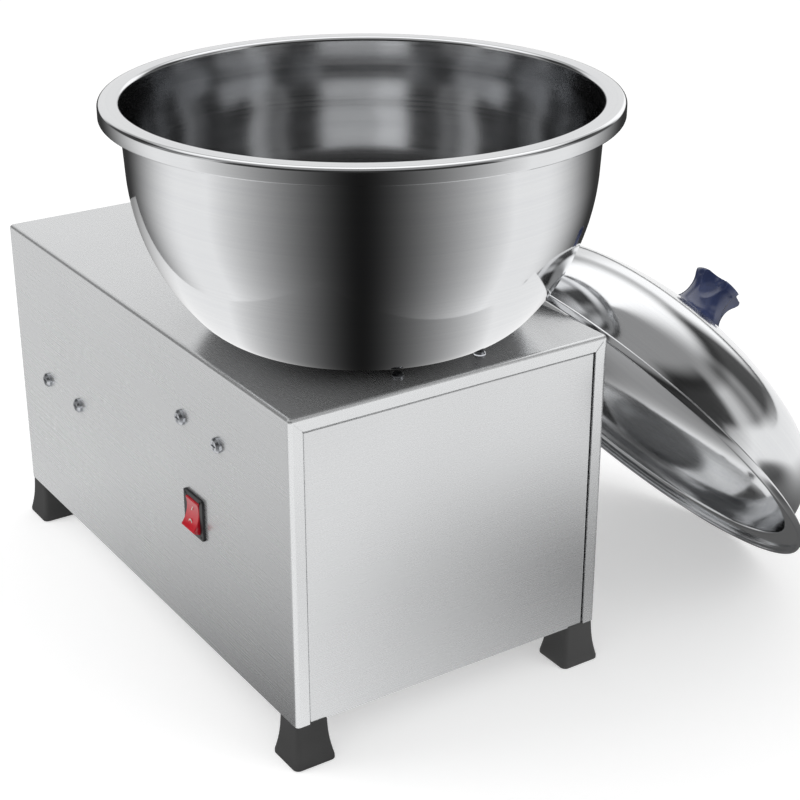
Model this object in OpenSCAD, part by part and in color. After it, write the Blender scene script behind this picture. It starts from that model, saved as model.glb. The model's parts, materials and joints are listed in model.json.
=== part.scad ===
// Electric dough mixer: a folded stainless body holds a motor and a worm drive,
// a fixed bowl stands on its top, and the domed lid leans on the long side.
// The origin is the middle of the base plate's underside. +X is the end with the
// inset front panel, -Y the long side with the switch, +Z up.

/* [Body] */
// Length of the body
body_l = 440; // [430:5:480]
// Width of the body
body_w = 248; // [244:2:270]
// Height of the body, from the base plate's underside to the top sheet
body_h = 222; // [216:1:250]
// Thickness of the stainless sheet
sheet_t = 1.5; // [1:0.1:2]
// Outer radius of the sheet's folds
bend_r = 3; // [2.5:0.5:5]
// Width of the flanges folded round both end openings
flange_w = 10; // [8:1:14]
// Width of the mitre line between two flanges
mitre_w = 0.6; // [0.4:0.1:1]
// Width of the flanges that the base plate is screwed to
base_flange_w = 16; // [14:1:20]
// Distance of the outer screws in those flanges from the body's ends
base_screw_inset = 70; // [60:5:90]

/* [End panels] */
// Gap between an end panel and the flanges round it
panel_gap = 0.8; // [0.4:0.1:0.9]
// Depth of an end panel's face behind the flanges
panel_recess = 1; // [0.5:0.1:2]
// Depth of the edges folded back round an end panel
panel_return = 14; // [12:1:18]
// Number of louvres in the rear panel
louvre_n = 6; // [3:1:8]
// Length of a louvre
louvre_l = 110; // [60:5:140]
// Outer radius of a louvre's hood
louvre_r = 6; // [5:0.5:8]
// Distance from one louvre to the next
louvre_pitch = 15; // [13:1:18]
// Height of the lowest louvre
louvre_z = 95; // [80:1:100]

/* [Base] */
// Thickness of the base plate
base_t = 2; // [1.5:0.1:3]
// Number of air slots in each row of the base plate
slot_n = 9; // [4:1:11]
// Length of an air slot
slot_l = 60; // [40:2:66]
// Width of an air slot
slot_w = 4; // [3:0.5:5]
// Distance from one air slot to the next
slot_pitch = 12; // [9:1:14]

/* [Feet] */
// Height of a rubber foot
foot_h = 32; // [20:1:45]
// Side of a foot where it meets the body
foot_top = 24; // [22:1:28]
// Side of a foot on the floor
foot_base = 32; // [28:1:40]
// Distance of a foot's middle from the body's end and side
foot_inset = 12.5; // [12:0.5:18]
// Height of the upright band at the foot of each rubber foot
foot_band = 3; // [2:0.5:8]

/* [Bowl] */
// Distance of the bowl's axis from the body's front end
bowl_setback = 110; // [100:1:130]
// Height of the bowl
bowl_h = 157; // [140:1:175]
// Outer radius of the rim
bowl_rim_r = 170; // [168:1:180]
// Outer radius of the wall under the rim
bowl_mouth_r = 157; // [154:1:160]
// Thickness of the bowl's sheet
bowl_t = 1.2; // [0.8:0.1:2]
// Slope of the wall above the belly, outwards
bowl_wall_a = 3; // [2:0.5:5]
// Radius of the belly's arc
bowl_arc_r = 154; // [150:1:158]
// Height of that arc's centre over the bowl's underside
bowl_arc_z = 118; // [114:1:122]
// Radius of the bowl's bottom corner
bowl_foot_r = 46; // [40:1:50]
// Height of the rim's turned-down lip
bowl_lip_h = 11; // [8:0.5:14]
// Radius of the folds at both edges of the rim
bowl_rim_bend = 3; // [2:0.5:4]
// Radius of the bead that closes the lip
bowl_bead_r = 1.5; // [1.2:0.1:2]

/* [Bowl seat] */
// Thickness of the gasket under the bowl
gasket_t = 3; // [2:0.5:5]
// Outer radius of the gasket
gasket_r = 74; // [70:1:78]
// Radius of the flange of the boss that clamps the bowl
boss_flange_r = 52; // [48:1:58]
// Thickness of that flange
boss_flange_t = 4; // [3:0.5:6]
// Outer radius of the boss
boss_r = 20; // [18:0.5:24]
// Height of the boss over its flange
boss_h = 15; // [12:1:18]
// Radius of the circle of the bowl's screws
bowl_screw_pcr = 40; // [36:0.5:42]
// Number of the bowl's screws
bowl_screw_n = 4; // [3:1:6]
// Length of the stiffening plate under the top sheet
stiffener_l = 206; // [200:2:216]
// Width of the stiffening plate
stiffener_w = 120; // [116:2:140]
// Thickness of the stiffening plate
stiffener_t = 3; // [2:0.5:5]
// Distance between the stiffener's screws along the body
top_screw_l = 180; // [176:2:186]
// Distance between the stiffener's screws across the body
top_screw_w = 64; // [56:2:80]

/* [Agitator] */
// Outer radius of the agitator's hub
hub_r = 19; // [17:0.5:21]
// Height of the hub
hub_h = 34; // [30:1:38]
// Radius of an arm's round section
arm_r = 9; // [7:0.5:9.5]
// Radius of the curve that an arm makes from the hub outwards
arm_sweep_r = 66; // [56:1:68]
// Angle at which that curve ends, measured from the hub
arm_sweep_a = 118; // [100:1:124]
// Slope of the arms, upwards and outwards
arm_slope = 14; // [8:1:15]
// Radius of the ball at an arm's end
arm_tip_r = 11; // [10:0.5:12]

/* [Lid] */
// How far the lid's edge stands out over the bowl's rim
lid_over = 2.5; // [2:0.5:4]
// Thickness of the lid's sheet
lid_t = 1; // [0.8:0.1:1.5]
// Outer radius of the dome where it leaves the flange
lid_neck_r = 155; // [150:1:157]
// Height of the dome over the flange's underside
lid_dome_h = 88; // [80:1:95]
// Radius of the dome's shoulder
lid_shoulder_r = 60; // [50:1:66]
// Height of the shoulder's start over the flange's underside
lid_shoulder_z = 8; // [4:1:12]
// Height of the lid's turned-down edge
lid_lip_h = 5; // [4:0.5:8]
// Radius of the bead round the lid's edge
lid_bead_r = 1.2; // [1:0.1:1.6]
// Distance along the lid from its lowest point to the body's edge that it leans on
lid_lean = 327.7; // [320:0.1:335]
// Place of the lid along the body
lid_x = 115; // [60:1:125]
// Gap between the lid and the edge that it leans on
lid_gap = 0.3; // [0.1:0.1:0.6]

/* [Knob] */
// Height of the knob over the dome
knob_h = 34; // [28:1:40]
// Radius of the knob's base
knob_base_r = 26; // [22:0.5:28]
// Radius of the knob's top
knob_top_r = 21; // [18:0.5:23]
// Radius of the knob's waist
knob_waist_r = 17; // [15:0.5:18]
// Height of the knob's base plate
knob_base_h = 4; // [3:0.5:5]
// Height of the knob's rim at the top
knob_rim_h = 7; // [5:0.5:8]
// Number of finger hollows round the knob
knob_hollow_n = 4; // [3:1:6]
// Radius of a finger hollow
knob_hollow_r = 11; // [9:0.5:12]
// Depth of a finger hollow
knob_hollow_d = 3.5; // [2:0.5:4]

/* [Worm drive] */
// Height of the worm's and the motor's axis
worm_z = 109; // [104:1:114]
// Module of the teeth
tooth_module = 3; // [2.8:0.1:3.2]
// Number of teeth of the worm wheel
wheel_teeth = 26; // [24:1:27]
// Pitch radius of the worm
worm_pitch_r = 13; // [12:0.5:14]
// Depth of the worm's thread on each side of its pitch line
worm_ecc = 3; // [2.5:0.1:3]
// Length of the thread
worm_l = 50; // [40:1:54]
// Width of the worm wheel
wheel_w = 16; // [12:1:18]
// Backlash on each flank of a wheel tooth
backlash = 0.4; // [0.35:0.05:0.5]
// Radius of the spindle
spindle_r = 10; // [9:0.5:11]
// Radius of the spindle's collar under the agitator
collar_r = 13; // [12:0.5:14]
// Height of the spindle's collar
collar_h = 5; // [4:0.5:8]
// Flat-to-middle distance of the spindle's drive end
drive_flat = 7.5; // [7:0.5:8]
// Radius of the spindle's threaded end
nose_r = 6; // [5:0.5:6.5]
// Length of the spindle's threaded end
nose_l = 12; // [10:1:16]
// Wall of the gearbox casing
gear_wall = 6; // [5:0.5:8]
// Free height over and under the worm wheel
wheel_room = 9; // [7:0.5:12]
// Thickness of the gearbox's bottom cover
gear_cover_t = 6; // [5:0.5:8]
// Radius of the gearbox's neck
neck_r = 34; // [32:0.5:38]
// Radius of the gearbox's top flange
gear_flange_r = 54; // [50:1:57]
// Thickness of the gearbox's top flange
gear_flange_t = 8; // [6:0.5:10]
// Length of the worm's tunnel
tunnel_l = 96; // [88:1:100]
// Distance of the gearbox's side bolts from the front end
gear_bolt_x = 120; // [112:1:126]
// Height of the gearbox's side bolts
gear_bolt_z = 168; // [160:1:172]
// Distance between the gearbox's side bolts
gear_bolt_pitch = 52; // [44:1:56]
// Height of the pad that takes those bolts
pad_h = 34; // [28:1:38]
// Thickness of that pad
pad_t = 10; // [8:1:12]
// Width of the arm from the pad to the gearbox's neck
gear_arm_w = 22; // [16:1:26]

/* [Bearings and seals] */
// Outer radius of the spindle's bearings
spindle_bearing_r = 23.5; // [22:0.5:25]
// Width of the spindle's bearings
spindle_bearing_w = 14; // [12:1:15]
// Outer radius of the worm's and the motor's bearings
shaft_bearing_r = 17.5; // [17:0.5:18]
// Width of those bearings
shaft_bearing_w = 11; // [10:1:12]
// Outer radius of the spindle's oil seal
seal_r = 17.5; // [16:0.5:19]
// Height of the spindle's oil seal
seal_h = 7; // [6:0.5:8]

/* [Motor] */
// Radius of the motor's and the worm's shafts
shaft_r = 7.5; // [6.5:0.5:8]
// Free space between the motor and the side wall
motor_gap = 14.5; // [13.5:0.5:18]
// Depth of the motor's cooling fins
fin_d = 6; // [4:0.5:8]
// Number of the cooling fins
fin_n = 28; // [20:2:32]
// Thickness of a cooling fin
fin_t = 2.4; // [2:0.2:3]
// Length of the motor's casing
motor_l = 100; // [90:1:110]
// Thickness of the motor's end caps
motor_cap_t = 14; // [13:0.5:16]
// Wall of the motor's casing
motor_wall = 5; // [4:0.5:6]
// Radius of the rotor as a share of the stator's outer radius
rotor_share = 0.6; // [0.54:0.01:0.62]
// Length of the rotor and of the stator's core
rotor_l = 58; // [50:1:64]
// Air gap round the rotor
air_gap = 0.6; // [0.4:0.1:1]
// Distance of the motor's side bolts from the rear end
motor_bolt_x = 87; // [84:1:92]
// Distance between the motor's side bolts
motor_bolt_pitch = 58; // [50:1:64]
// Length of the motor's bracket
bracket_l = 88; // [80:1:96]
// How far the bracket's shelves reach over the motor's casing
shelf_lap = 4; // [3:0.5:6]
// Thickness of the bracket's plate
bracket_t = 4; // [3:0.5:5]
// Thickness of the bracket's two shelves
shelf_t = 8; // [6:0.5:10]
// Outer radius of the fan
fan_r = 42; // [36:1:46]
// Length of the fan
fan_l = 12; // [9:0.5:13]
// Number of the fan's blades
fan_n = 9; // [6:1:12]

/* [Coupling] */
// Outer radius of the shaft coupling
coupling_r = 19; // [16:0.5:22]
// Length of each coupling hub without its jaws
coupling_l = 20; // [16:1:24]
// Length of the coupling's jaws
jaw_l = 10; // [8:1:12]
// Number of jaws on each hub
jaw_n = 3; // [2:1:4]

/* [Switch] */
// Width of the switch's bezel
bezel_w = 27; // [25:0.5:30]
// Height of the switch's bezel
bezel_h = 31; // [29:0.5:34]
// Thickness of the bezel
bezel_t = 2; // [1.5:0.1:3]
// Distance of the switch's middle from the front end
switch_x = 132; // [110:1:160]
// Height of the switch's middle
switch_z = 100; // [60:1:110]
// Depth of the switch's body behind the sheet
switch_d = 18; // [16:1:24]
// Width of the rocker
rocker_w = 18; // [16:0.5:20]
// Radius of the rocker's ends about its pivot
rocker_r = 12; // [11:0.5:12.5]
// Radius of the hollow in the rocker's face
rocker_hollow_r = 22; // [18:1:30]
// Tilt of the rocker to each side
rocker_tilt = 12; // [8:1:14]

/* [Fasteners] */
// Radius of the side bolts and the bowl's screws
bolt_r = 3; // [2.5:0.1:3]
// Radius of their heads
bolt_head_r = 5.5; // [5:0.1:6]
// Height of their heads
bolt_head_h = 3.6; // [3:0.1:4]
// Radius of the small screws
screw_r = 2; // [1.6:0.1:2.2]
// Radius of the small screws' heads
screw_head_r = 4; // [3.5:0.1:4.5]
// Height of the small screws' heads
screw_head_h = 2.4; // [2:0.1:3]

/* [Electric parts] */
// Radius of the capacitor
capacitor_r = 18; // [15:0.5:20]
// Length of the capacitor
capacitor_l = 72; // [60:1:80]
// Radius of the hole through the cable gland
gland_bore_r = 4; // [3:0.5:5]
// Outer radius of the gland's thread
gland_r = 8; // [7:0.5:9]
// Height of the cable gland
gland_z = 42; // [36:1:60]
// Distance of the cable gland from the body's side
gland_inset = 54; // [44:1:80]

/* [Hidden] */
$fn = 96;

// Overrun of a cut past the face that it opens
cut = 1;
// Overlap of lines and arcs that meet without a corner, and the angle over which they meet
arc_lap = 0.02;
arc_lap_a = 0.4;
// Clearance between flat pieces that lie together
lay = 0.1;
// Radial clearance of a piece seated on a shaft or in a bore
seat = 0.02;
// Radial clearance of a shaft that runs in a bore
run = 0.05;
// Radial clearance of a fastener in its plain hole
loose = 0.3;

// Inner faces of the folded body
in_x = body_l / 2 - sheet_t;
in_y = body_w / 2 - sheet_t;
in_z = body_h - sheet_t;
// Length of a mitre line, which ends before the folds
mitre_l = (flange_w - bend_r) * 1.2;
// Outer face and back face of the end panels
panel_x = body_l / 2 - panel_recess;
panel_in_x = panel_x - sheet_t;
panel_half_w = body_w / 2 - flange_w - panel_gap;
panel_h = body_h - flange_w - panel_gap;
// Half length and half width of the base plate
base_half_l = panel_in_x - lay;
base_half_w = in_y - lay;
base_flange_z = base_t + lay;

// Axis of the bowl and the spindle
spindle_x = body_l / 2 - bowl_setback;
bowl_z = body_h + gasket_t;
bowl_top = bowl_z + bowl_h;
bowl_fold_z = bowl_h - bowl_rim_bend;
bowl_arc_x = bowl_mouth_r - (bowl_fold_z - bowl_arc_z) * tan(bowl_wall_a) - bowl_arc_r / cos(bowl_wall_a);
bowl_foot_x = bowl_arc_x + sqrt(pow(bowl_arc_r - bowl_foot_r, 2) - pow(bowl_arc_z - bowl_foot_r, 2));
bowl_foot_a = atan2(bowl_arc_z - bowl_foot_r, bowl_foot_x - bowl_arc_x);
// Stack of pieces at the bowl's seat, from the top down
boss_z = bowl_z + bowl_t;
boss_top = boss_z + boss_flange_t + boss_h;
stiffener_z = in_z - stiffener_t;
gear_flange_z = stiffener_z - gear_flange_t;

// Worm and wheel
pitch = PI * tooth_module;
wheel_pitch_r = tooth_module * wheel_teeth / 2;
axis_gap = wheel_pitch_r + worm_pitch_r;
worm_y = -axis_gap;
wheel_tip_r = wheel_pitch_r + 0.8 * tooth_module;
wheel_root_r = wheel_pitch_r - worm_ecc - 0.1 * tooth_module;
wheel_twist = wheel_w * pitch / (2 * PI * worm_pitch_r) / wheel_pitch_r * 180 / PI;
pressure_a = 20;
// Gearbox chamber
chamber_r = wheel_tip_r + 3.3;
chamber_z = worm_z - wheel_w / 2 - wheel_room - spindle_bearing_w;
chamber_top = worm_z + wheel_w / 2 + wheel_room;
casing_r = chamber_r + gear_wall;
tunnel_r = shaft_bearing_r + gear_wall;
tunnel_x = spindle_x - tunnel_l / 2;
upper_bearing_z = chamber_top;
lower_bearing_z = chamber_z;
cover_z = chamber_z - gear_cover_t;
cover_floor_t = 2;
end_cap_t = 4;
end_cap_lip = 0.6;
seal_z = gear_flange_z + gear_flange_t - seal_h;
pad_x = body_l / 2 - gear_bolt_x;

// Spindle and agitator
spindle_low = cover_z + cover_floor_t + 1;
collar_z = boss_top + 1;
hub_z = collar_z + collar_h;
drive_z = hub_z;
bowl_seal_h = 6;
nut_h = 9;

// Motor
motor_r = in_y - axis_gap - motor_gap;
motor_x = motor_bolt_x - body_l / 2;
motor_rear = motor_x - motor_l / 2;
motor_front = motor_x + motor_l / 2;
casing_in_r = motor_r - fin_d - motor_wall;
rotor_r = casing_in_r * rotor_share;
fan_x = motor_rear - motor_cap_t - 2 - fan_l;
shaft_rear = fan_x - 2;
jaw_a = 180 / jaw_n - 16;
coupling_x = (motor_front + motor_cap_t + tunnel_x) / 2;
motor_shaft_end = coupling_x - jaw_l / 2 - 1;
worm_shaft_start = coupling_x + jaw_l / 2 + 1;
worm_shaft_end = spindle_x + tunnel_l / 2 - 1;
bracket_h = 2 * (motor_r - shelf_lap);
bracket_nut_t = 5;
gland_y = body_w / 2 - gland_inset;

// Switch, with its pivot behind the bezel's face
switch_mid_x = body_l / 2 - switch_x;
switch_face_y = -(body_w / 2) - bezel_t;
pivot_d = 2.5;
pivot_y = switch_face_y + pivot_d;
pivot_pin_r = 1.5;
pivot_pin_l = 1.6;
rocker_gap = 0.35;
rocker_back = 4;
rocker_tip = 6;
switch_box_w = bezel_w - 5;
switch_box_h = bezel_h - 3;

// Lid: crown radius from the shoulder's tangent, and its place on the floor and on the body's edge
lid_r = bowl_rim_r + lid_over;
lid_rise = lid_dome_h - lid_shoulder_z;
lid_shoulder_x = lid_neck_r - lid_shoulder_r;
lid_crown_r = (pow(lid_shoulder_x, 2) + pow(lid_rise, 2) - pow(lid_shoulder_r, 2))
    / (2 * (lid_rise - lid_shoulder_r));
lid_crown_z = lid_dome_h - lid_crown_r;
lid_crown_a = atan2(lid_shoulder_x, lid_shoulder_z - lid_crown_z);
lid_edge_y = body_w / 2 - bend_r;
lid_edge_z = body_h - bend_r;
lid_tilt = asin((lid_edge_z + foot_h) / lid_lean);
lid_z = -foot_h + (lid_r - lid_bead_r) * sin(lid_tilt)
    + (lid_lip_h - lid_bead_r) * cos(lid_tilt) + lid_bead_r;
lid_y = lid_edge_y
    + (lid_lip_h + bend_r + lid_gap + cos(lid_tilt) * (lid_edge_z - lid_z)) / sin(lid_tilt);
knob_screw_l = 16;
washer_r = 9;
washer_t = 1.2;
// Drop of the crown's inner face at the washer's edge
washer_drop = lid_crown_r - lid_t - sqrt(pow(lid_crown_r - lid_t, 2) - pow(washer_r, 2));

// Colours
steel = "#c9cbcd";
polished = "#d8dadc";
zinc = "#b8bcc0";
rubber = "#3a3a3c";
cast = "#9da1a6";
bronze = "#b08a4a";
copper = "#b5683a";
plastic_blue = "#2f3a6b";
plastic_red = "#c41a26";
plastic_black = "#1c1c1e";

// Places its children with their Z axis along the body's length
module along_x(x, y, z) {
    translate([x, y, z]) rotate([0, 90, 0]) children();
}

// Places its children with their Z axis pointing out of the switch side
module out_of_side(x, y, z) {
    translate([x, y, z]) rotate([90, 0, 0]) children();
}

// Copies its children to the four corners of a rectangle
module at_corners(half_x, half_y) {
    for (sx = [-1, 1], sy = [-1, 1]) translate([sx * half_x, sy * half_y, 0]) children();
}

// A flat ring or a bush
module ring(outer_r, inner_r, h) {
    difference() {
        cylinder(r = outer_r, h = h);
        translate([0, 0, -cut]) cylinder(r = inner_r, h = h + 2 * cut);
    }
}

// A pan head screw: its head's underside is at Z = 0, its shank points down
module pan_screw(r, head_r, head_h, l) {
    edge = head_h * 0.45;
    difference() {
        union() {
            translate([0, 0, -l]) cylinder(r = r, h = l + edge / 2);
            cylinder(r = head_r, h = head_h - edge);
            translate([0, 0, head_h - edge]) cylinder(r1 = head_r, r2 = head_r - edge, h = edge);
        }
        for (a = [0, 90]) rotate(a)
            translate([-head_r * 0.55, -head_r * 0.09, head_h * 0.5])
                cube([head_r * 1.1, head_r * 0.18, head_h]);
    }
}

// A ball bearing drawn as one ring, with a groove between its races on both faces
module bearing(outer_r, inner_r, w) {
    race = (outer_r - inner_r) * 0.3;
    groove = 1;
    difference() {
        ring(outer_r, inner_r, w);
        for (z = [-cut, w - groove])
            translate([0, 0, z]) ring(outer_r - race, inner_r + race, groove + cut);
    }
}

// The folded body as a solid, its faces moved inwards by i, its bottom at z0
module case_form(i, z0) {
    fold_x = body_l / 2 - bend_r;
    fold_y = body_w / 2 - bend_r;
    fold_z = body_h - bend_r;
    r = bend_r - i;
    translate([-fold_x - r, -fold_y, z0]) cube([2 * (fold_x + r), 2 * fold_y, fold_z - z0]);
    translate([-fold_x, -fold_y - r, z0]) cube([2 * fold_x, 2 * (fold_y + r), fold_z - z0]);
    translate([-fold_x, -fold_y, z0]) cube([2 * fold_x, 2 * fold_y, fold_z + r - z0]);
    at_corners(fold_x, fold_y) {
        translate([0, 0, z0]) cylinder(r = r, h = fold_z - z0);
        translate([0, 0, fold_z]) sphere(r = r);
    }
    for (s = [-1, 1]) {
        along_x(-fold_x, s * fold_y, fold_z) cylinder(r = r, h = 2 * fold_x);
        translate([s * fold_x, fold_y, fold_z]) rotate([90, 0, 0]) cylinder(r = r, h = 2 * fold_y);
    }
}

// Holes through the top sheet and the pieces clamped to it
module seat_holes(z, h, spindle_hole_r) {
    translate([spindle_x, 0, z]) {
        cylinder(r = spindle_hole_r, h = h);
        for (k = [0 : bowl_screw_n - 1]) rotate(45 + k * 360 / bowl_screw_n)
            translate([bowl_screw_pcr, 0, 0]) cylinder(r = bolt_r + loose, h = h);
    }
}

module stiffener_holes(z, h) {
    translate([spindle_x, 0, z]) at_corners(top_screw_l / 2, top_screw_w / 2)
        cylinder(r = screw_r + loose, h = h);
}

// Places its children at the two side bolts of the motor or of the gearbox
module at_bolts(x, z, bolt_pitch) {
    for (s = [-1, 1]) out_of_side(x + s * bolt_pitch / 2, -body_w / 2, z) children();
}

module housing() {
    side_flange_l = 2 * (in_x - panel_return - 6);
    side_flange_y = in_y - base_flange_w / 2;
    color(steel) difference() {
        union() {
            difference() {
                case_form(0, 0);
                case_form(sheet_t, -cut);
                // openings of both ends, inside their folded flanges
                translate([-body_l / 2 - cut, -body_w / 2 + flange_w, -cut])
                    cube([body_l + 2 * cut, body_w - 2 * flange_w, body_h - flange_w + cut]);
            }
            // flanges that carry the base plate
            for (s = [-1, 1])
                translate([-side_flange_l / 2, s * side_flange_y - base_flange_w / 2, base_flange_z])
                    cube([side_flange_l, base_flange_w, sheet_t]);
        }
        seat_holes(in_z - cut, sheet_t + 2 * cut, seal_r);
        stiffener_holes(in_z - cut, sheet_t + 2 * cut);
        // mitre lines where the flanges meet
        for (sx = [-1, 1], sy = [-1, 1])
            translate([sx * body_l / 2, sy * (body_w / 2 - flange_w), body_h - flange_w])
                rotate([sy * -45, 0, 0]) translate([-mitre_w, -mitre_w / 2, -cut])
                    cube([2 * mitre_w, mitre_w, cut + mitre_l]);
        at_bolts(motor_x, worm_z, motor_bolt_pitch)
            translate([0, 0, -sheet_t - cut]) cylinder(r = bolt_r + loose, h = sheet_t + 2 * cut);
        at_bolts(pad_x, gear_bolt_z, gear_bolt_pitch)
            translate([0, 0, -sheet_t - cut]) cylinder(r = bolt_r + loose, h = sheet_t + 2 * cut);
        out_of_side(switch_mid_x, -body_w / 2, switch_z)
            translate([-switch_box_w / 2 - lay, -switch_box_h / 2 - lay, -sheet_t - cut])
                cube([switch_box_w + 2 * lay, switch_box_h + 2 * lay, sheet_t + 2 * cut]);
        base_screw_places() cylinder(r = screw_r + run, h = 2 * (base_flange_z + sheet_t));
    }
}

// An end panel with its face towards +X: three edges folded back and a foot on the base plate
module end_panel() {
    r = bend_r - 1;
    depth = panel_return;
    fold_y = panel_half_w - r;
    fold_z = panel_h - r;
    inner_h = panel_h - base_flange_z - 2 * sheet_t;
    translate([panel_x - depth, 0, 0]) difference() {
        union() {
            translate([0, -panel_half_w, 0]) cube([depth - r, 2 * panel_half_w, panel_h]);
            translate([0, -fold_y, 0]) cube([depth, 2 * fold_y, fold_z]);
            for (s = [-1, 1]) translate([depth - r, s * fold_y, 0]) {
                cylinder(r = r, h = fold_z);
                translate([0, 0, fold_z]) sphere(r = r);
            }
            translate([depth - r, fold_y, fold_z]) rotate([90, 0, 0]) cylinder(r = r, h = 2 * fold_y);
        }
        translate([-cut, -panel_half_w + sheet_t, base_flange_z + sheet_t])
            cube([depth - sheet_t + cut, 2 * (panel_half_w - sheet_t), inner_h]);
        translate([-cut, -panel_half_w - cut, -cut])
            cube([depth - sheet_t + cut, 2 * (panel_half_w + cut), base_flange_z + cut]);
    }
}

module front_panel() {
    color(steel) difference() {
        end_panel();
        base_screw_places() cylinder(r = screw_r + run, h = 2 * (base_flange_z + sheet_t));
    }
}

// The hood of one louvre: a quarter tube with closed ends, its slot facing down
module louvre_hood() {
    rotate([90, 0, 0]) translate([0, 0, -louvre_l / 2]) difference() {
        intersection() {
            cylinder(r = louvre_r, h = louvre_l);
            translate([-louvre_r - cut, 0, 0]) cube([louvre_r + cut, louvre_r + cut, louvre_l]);
        }
        translate([0, 0, sheet_t]) intersection() {
            cylinder(r = louvre_r - sheet_t, h = louvre_l - 2 * sheet_t);
            translate([-louvre_r - cut, -cut, 0]) cube([louvre_r + 2 * cut, louvre_r + 2 * cut, louvre_l]);
        }
    }
}

module rear_panel() {
    color(steel) {
        difference() {
            mirror([1, 0, 0]) end_panel();
            for (k = [0 : louvre_n - 1])
                translate([-panel_x - cut, -louvre_l / 2 + sheet_t, louvre_z + k * louvre_pitch])
                    cube([sheet_t + 2 * cut, louvre_l - 2 * sheet_t, louvre_r - sheet_t]);
            along_x(-panel_x - cut, gland_y, gland_z) cylinder(r = gland_r + loose, h = sheet_t + 2 * cut);
            base_screw_places() cylinder(r = screw_r + run, h = 2 * (base_flange_z + sheet_t));
        }
        for (k = [0 : louvre_n - 1])
            translate([-panel_x, 0, louvre_z + k * louvre_pitch]) louvre_hood();
    }
}

// Places its children at the base plate's screws: three on each long side, two at each end
module base_screw_places() {
    side_y = in_y - base_flange_w / 2;
    end_x = panel_x - panel_return / 2;
    for (sy = [-1, 1], k = [-1, 0, 1]) translate([k * (body_l / 2 - base_screw_inset), sy * side_y, 0]) children();
    for (sx = [-1, 1], sy = [-1, 1]) translate([sx * end_x, sy * panel_half_w / 2, 0]) children();
}

// One air slot with round ends
module air_slot() {
    half = (slot_l - slot_w) / 2;
    translate([-slot_w / 2, -half, -cut]) cube([slot_w, 2 * half, base_t + 2 * cut]);
    for (s = [-1, 1]) translate([0, s * half, -cut]) cylinder(r = slot_w / 2, h = base_t + 2 * cut);
}

module foot_places() {
    at_corners(body_l / 2 - foot_inset, body_w / 2 - foot_inset) children();
}

module base_plate() {
    color(steel) difference() {
        translate([-base_half_l, -base_half_w, 0]) cube([2 * base_half_l, 2 * base_half_w, base_t]);
        translate([0, 0, -cut]) foot_places() cylinder(r = screw_r + run, h = base_t + 2 * cut);
        translate([0, 0, -cut]) base_screw_places() cylinder(r = screw_r + loose, h = base_t + 2 * cut);
        for (s = [-1, 1], k = [0 : slot_n - 1])
            translate([motor_x + (k - (slot_n - 1) / 2) * slot_pitch, s * slot_l * 0.62, 0]) air_slot();
    }
}

module base_screws() {
    color(zinc) base_screw_places() mirror([0, 0, 1])
        pan_screw(screw_r, screw_head_r, screw_head_h, base_flange_z + sheet_t + 3);
}

// A rubber foot under the body's corner: a flared block on an upright band, with a sunk screw hole
module foot(sx, sy) {
    recess_r = screw_head_r + 2;
    foot_x = sx * (body_l / 2 - foot_inset);
    foot_y = sy * (body_w / 2 - foot_inset);
    color(rubber) translate([foot_x, foot_y, -foot_h]) difference() {
        union() {
            translate([-foot_base / 2, -foot_base / 2, 0]) cube([foot_base, foot_base, foot_band]);
            translate([0, 0, foot_band]) rotate(45)
                cylinder(r1 = foot_base / sqrt(2), r2 = foot_top / sqrt(2), h = foot_h - foot_band, $fn = 4);
        }
        translate([0, 0, -cut]) cylinder(r = recess_r, h = foot_h * 0.6 + cut);
        translate([0, 0, -cut]) cylinder(r = screw_r + loose, h = foot_h + 2 * cut);
    }
}

module foot_screws() {
    color(zinc) foot_places() translate([0, 0, -foot_h * 0.4]) mirror([0, 0, 1])
        pan_screw(screw_r, screw_head_r, screw_head_h, foot_h * 0.4 + base_t);
}

// A point on the bowl's belly, at the angle a under the arc's centre
function on_belly(r, a) = [bowl_arc_x + r * cos(a), bowl_arc_z - r * sin(a)];

// The bowl's filled outline beside its axis, its faces moved inwards by i
module bowl_outline(i) {
    wall_x = bowl_mouth_r - i / cos(bowl_wall_a);
    centre = [bowl_arc_x, bowl_arc_z];
    foot = [bowl_foot_x + arc_lap * cos(bowl_foot_a), bowl_foot_r - arc_lap * sin(bowl_foot_a)];
    wall_foot = on_belly(bowl_arc_r - i - arc_lap, bowl_wall_a + arc_lap_a);
    polygon([[0, bowl_arc_z], centre, wall_foot, [wall_x, bowl_fold_z], [0, bowl_fold_z]]);
    intersection() {
        translate(centre) circle(r = bowl_arc_r - i);
        polygon([
            centre, on_belly(2 * bowl_arc_r, 0), on_belly(2 * bowl_arc_r, bowl_foot_a + arc_lap_a)
        ]);
    }
    translate(foot) circle(r = bowl_foot_r - i);
    polygon([[0, i], [bowl_foot_x, i], foot, centre, [0, bowl_arc_z]]);
}

// The rim's filled outline, its outer faces moved inwards by i and its underside open:
// a fold over the wall, a flat flange and a fold down to the lip
module rim_outline(i) {
    low = bowl_h - bowl_lip_h + bowl_bead_r;
    inner_x = bowl_mouth_r - bowl_t / cos(bowl_wall_a) + bowl_rim_bend;
    outer_x = bowl_rim_r - bowl_rim_bend;
    wall_x = bowl_mouth_r - (bowl_fold_z - low) * tan(bowl_wall_a);
    r = bowl_rim_bend - i;
    for (x = [inner_x, outer_x]) translate([x, bowl_fold_z]) circle(r = r);
    translate([inner_x, low]) square([outer_x - inner_x, bowl_h - i - low]);
    polygon([[wall_x, low], [outer_x + r, low], [outer_x + r, bowl_fold_z], [inner_x - r, bowl_fold_z]]);
}

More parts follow.
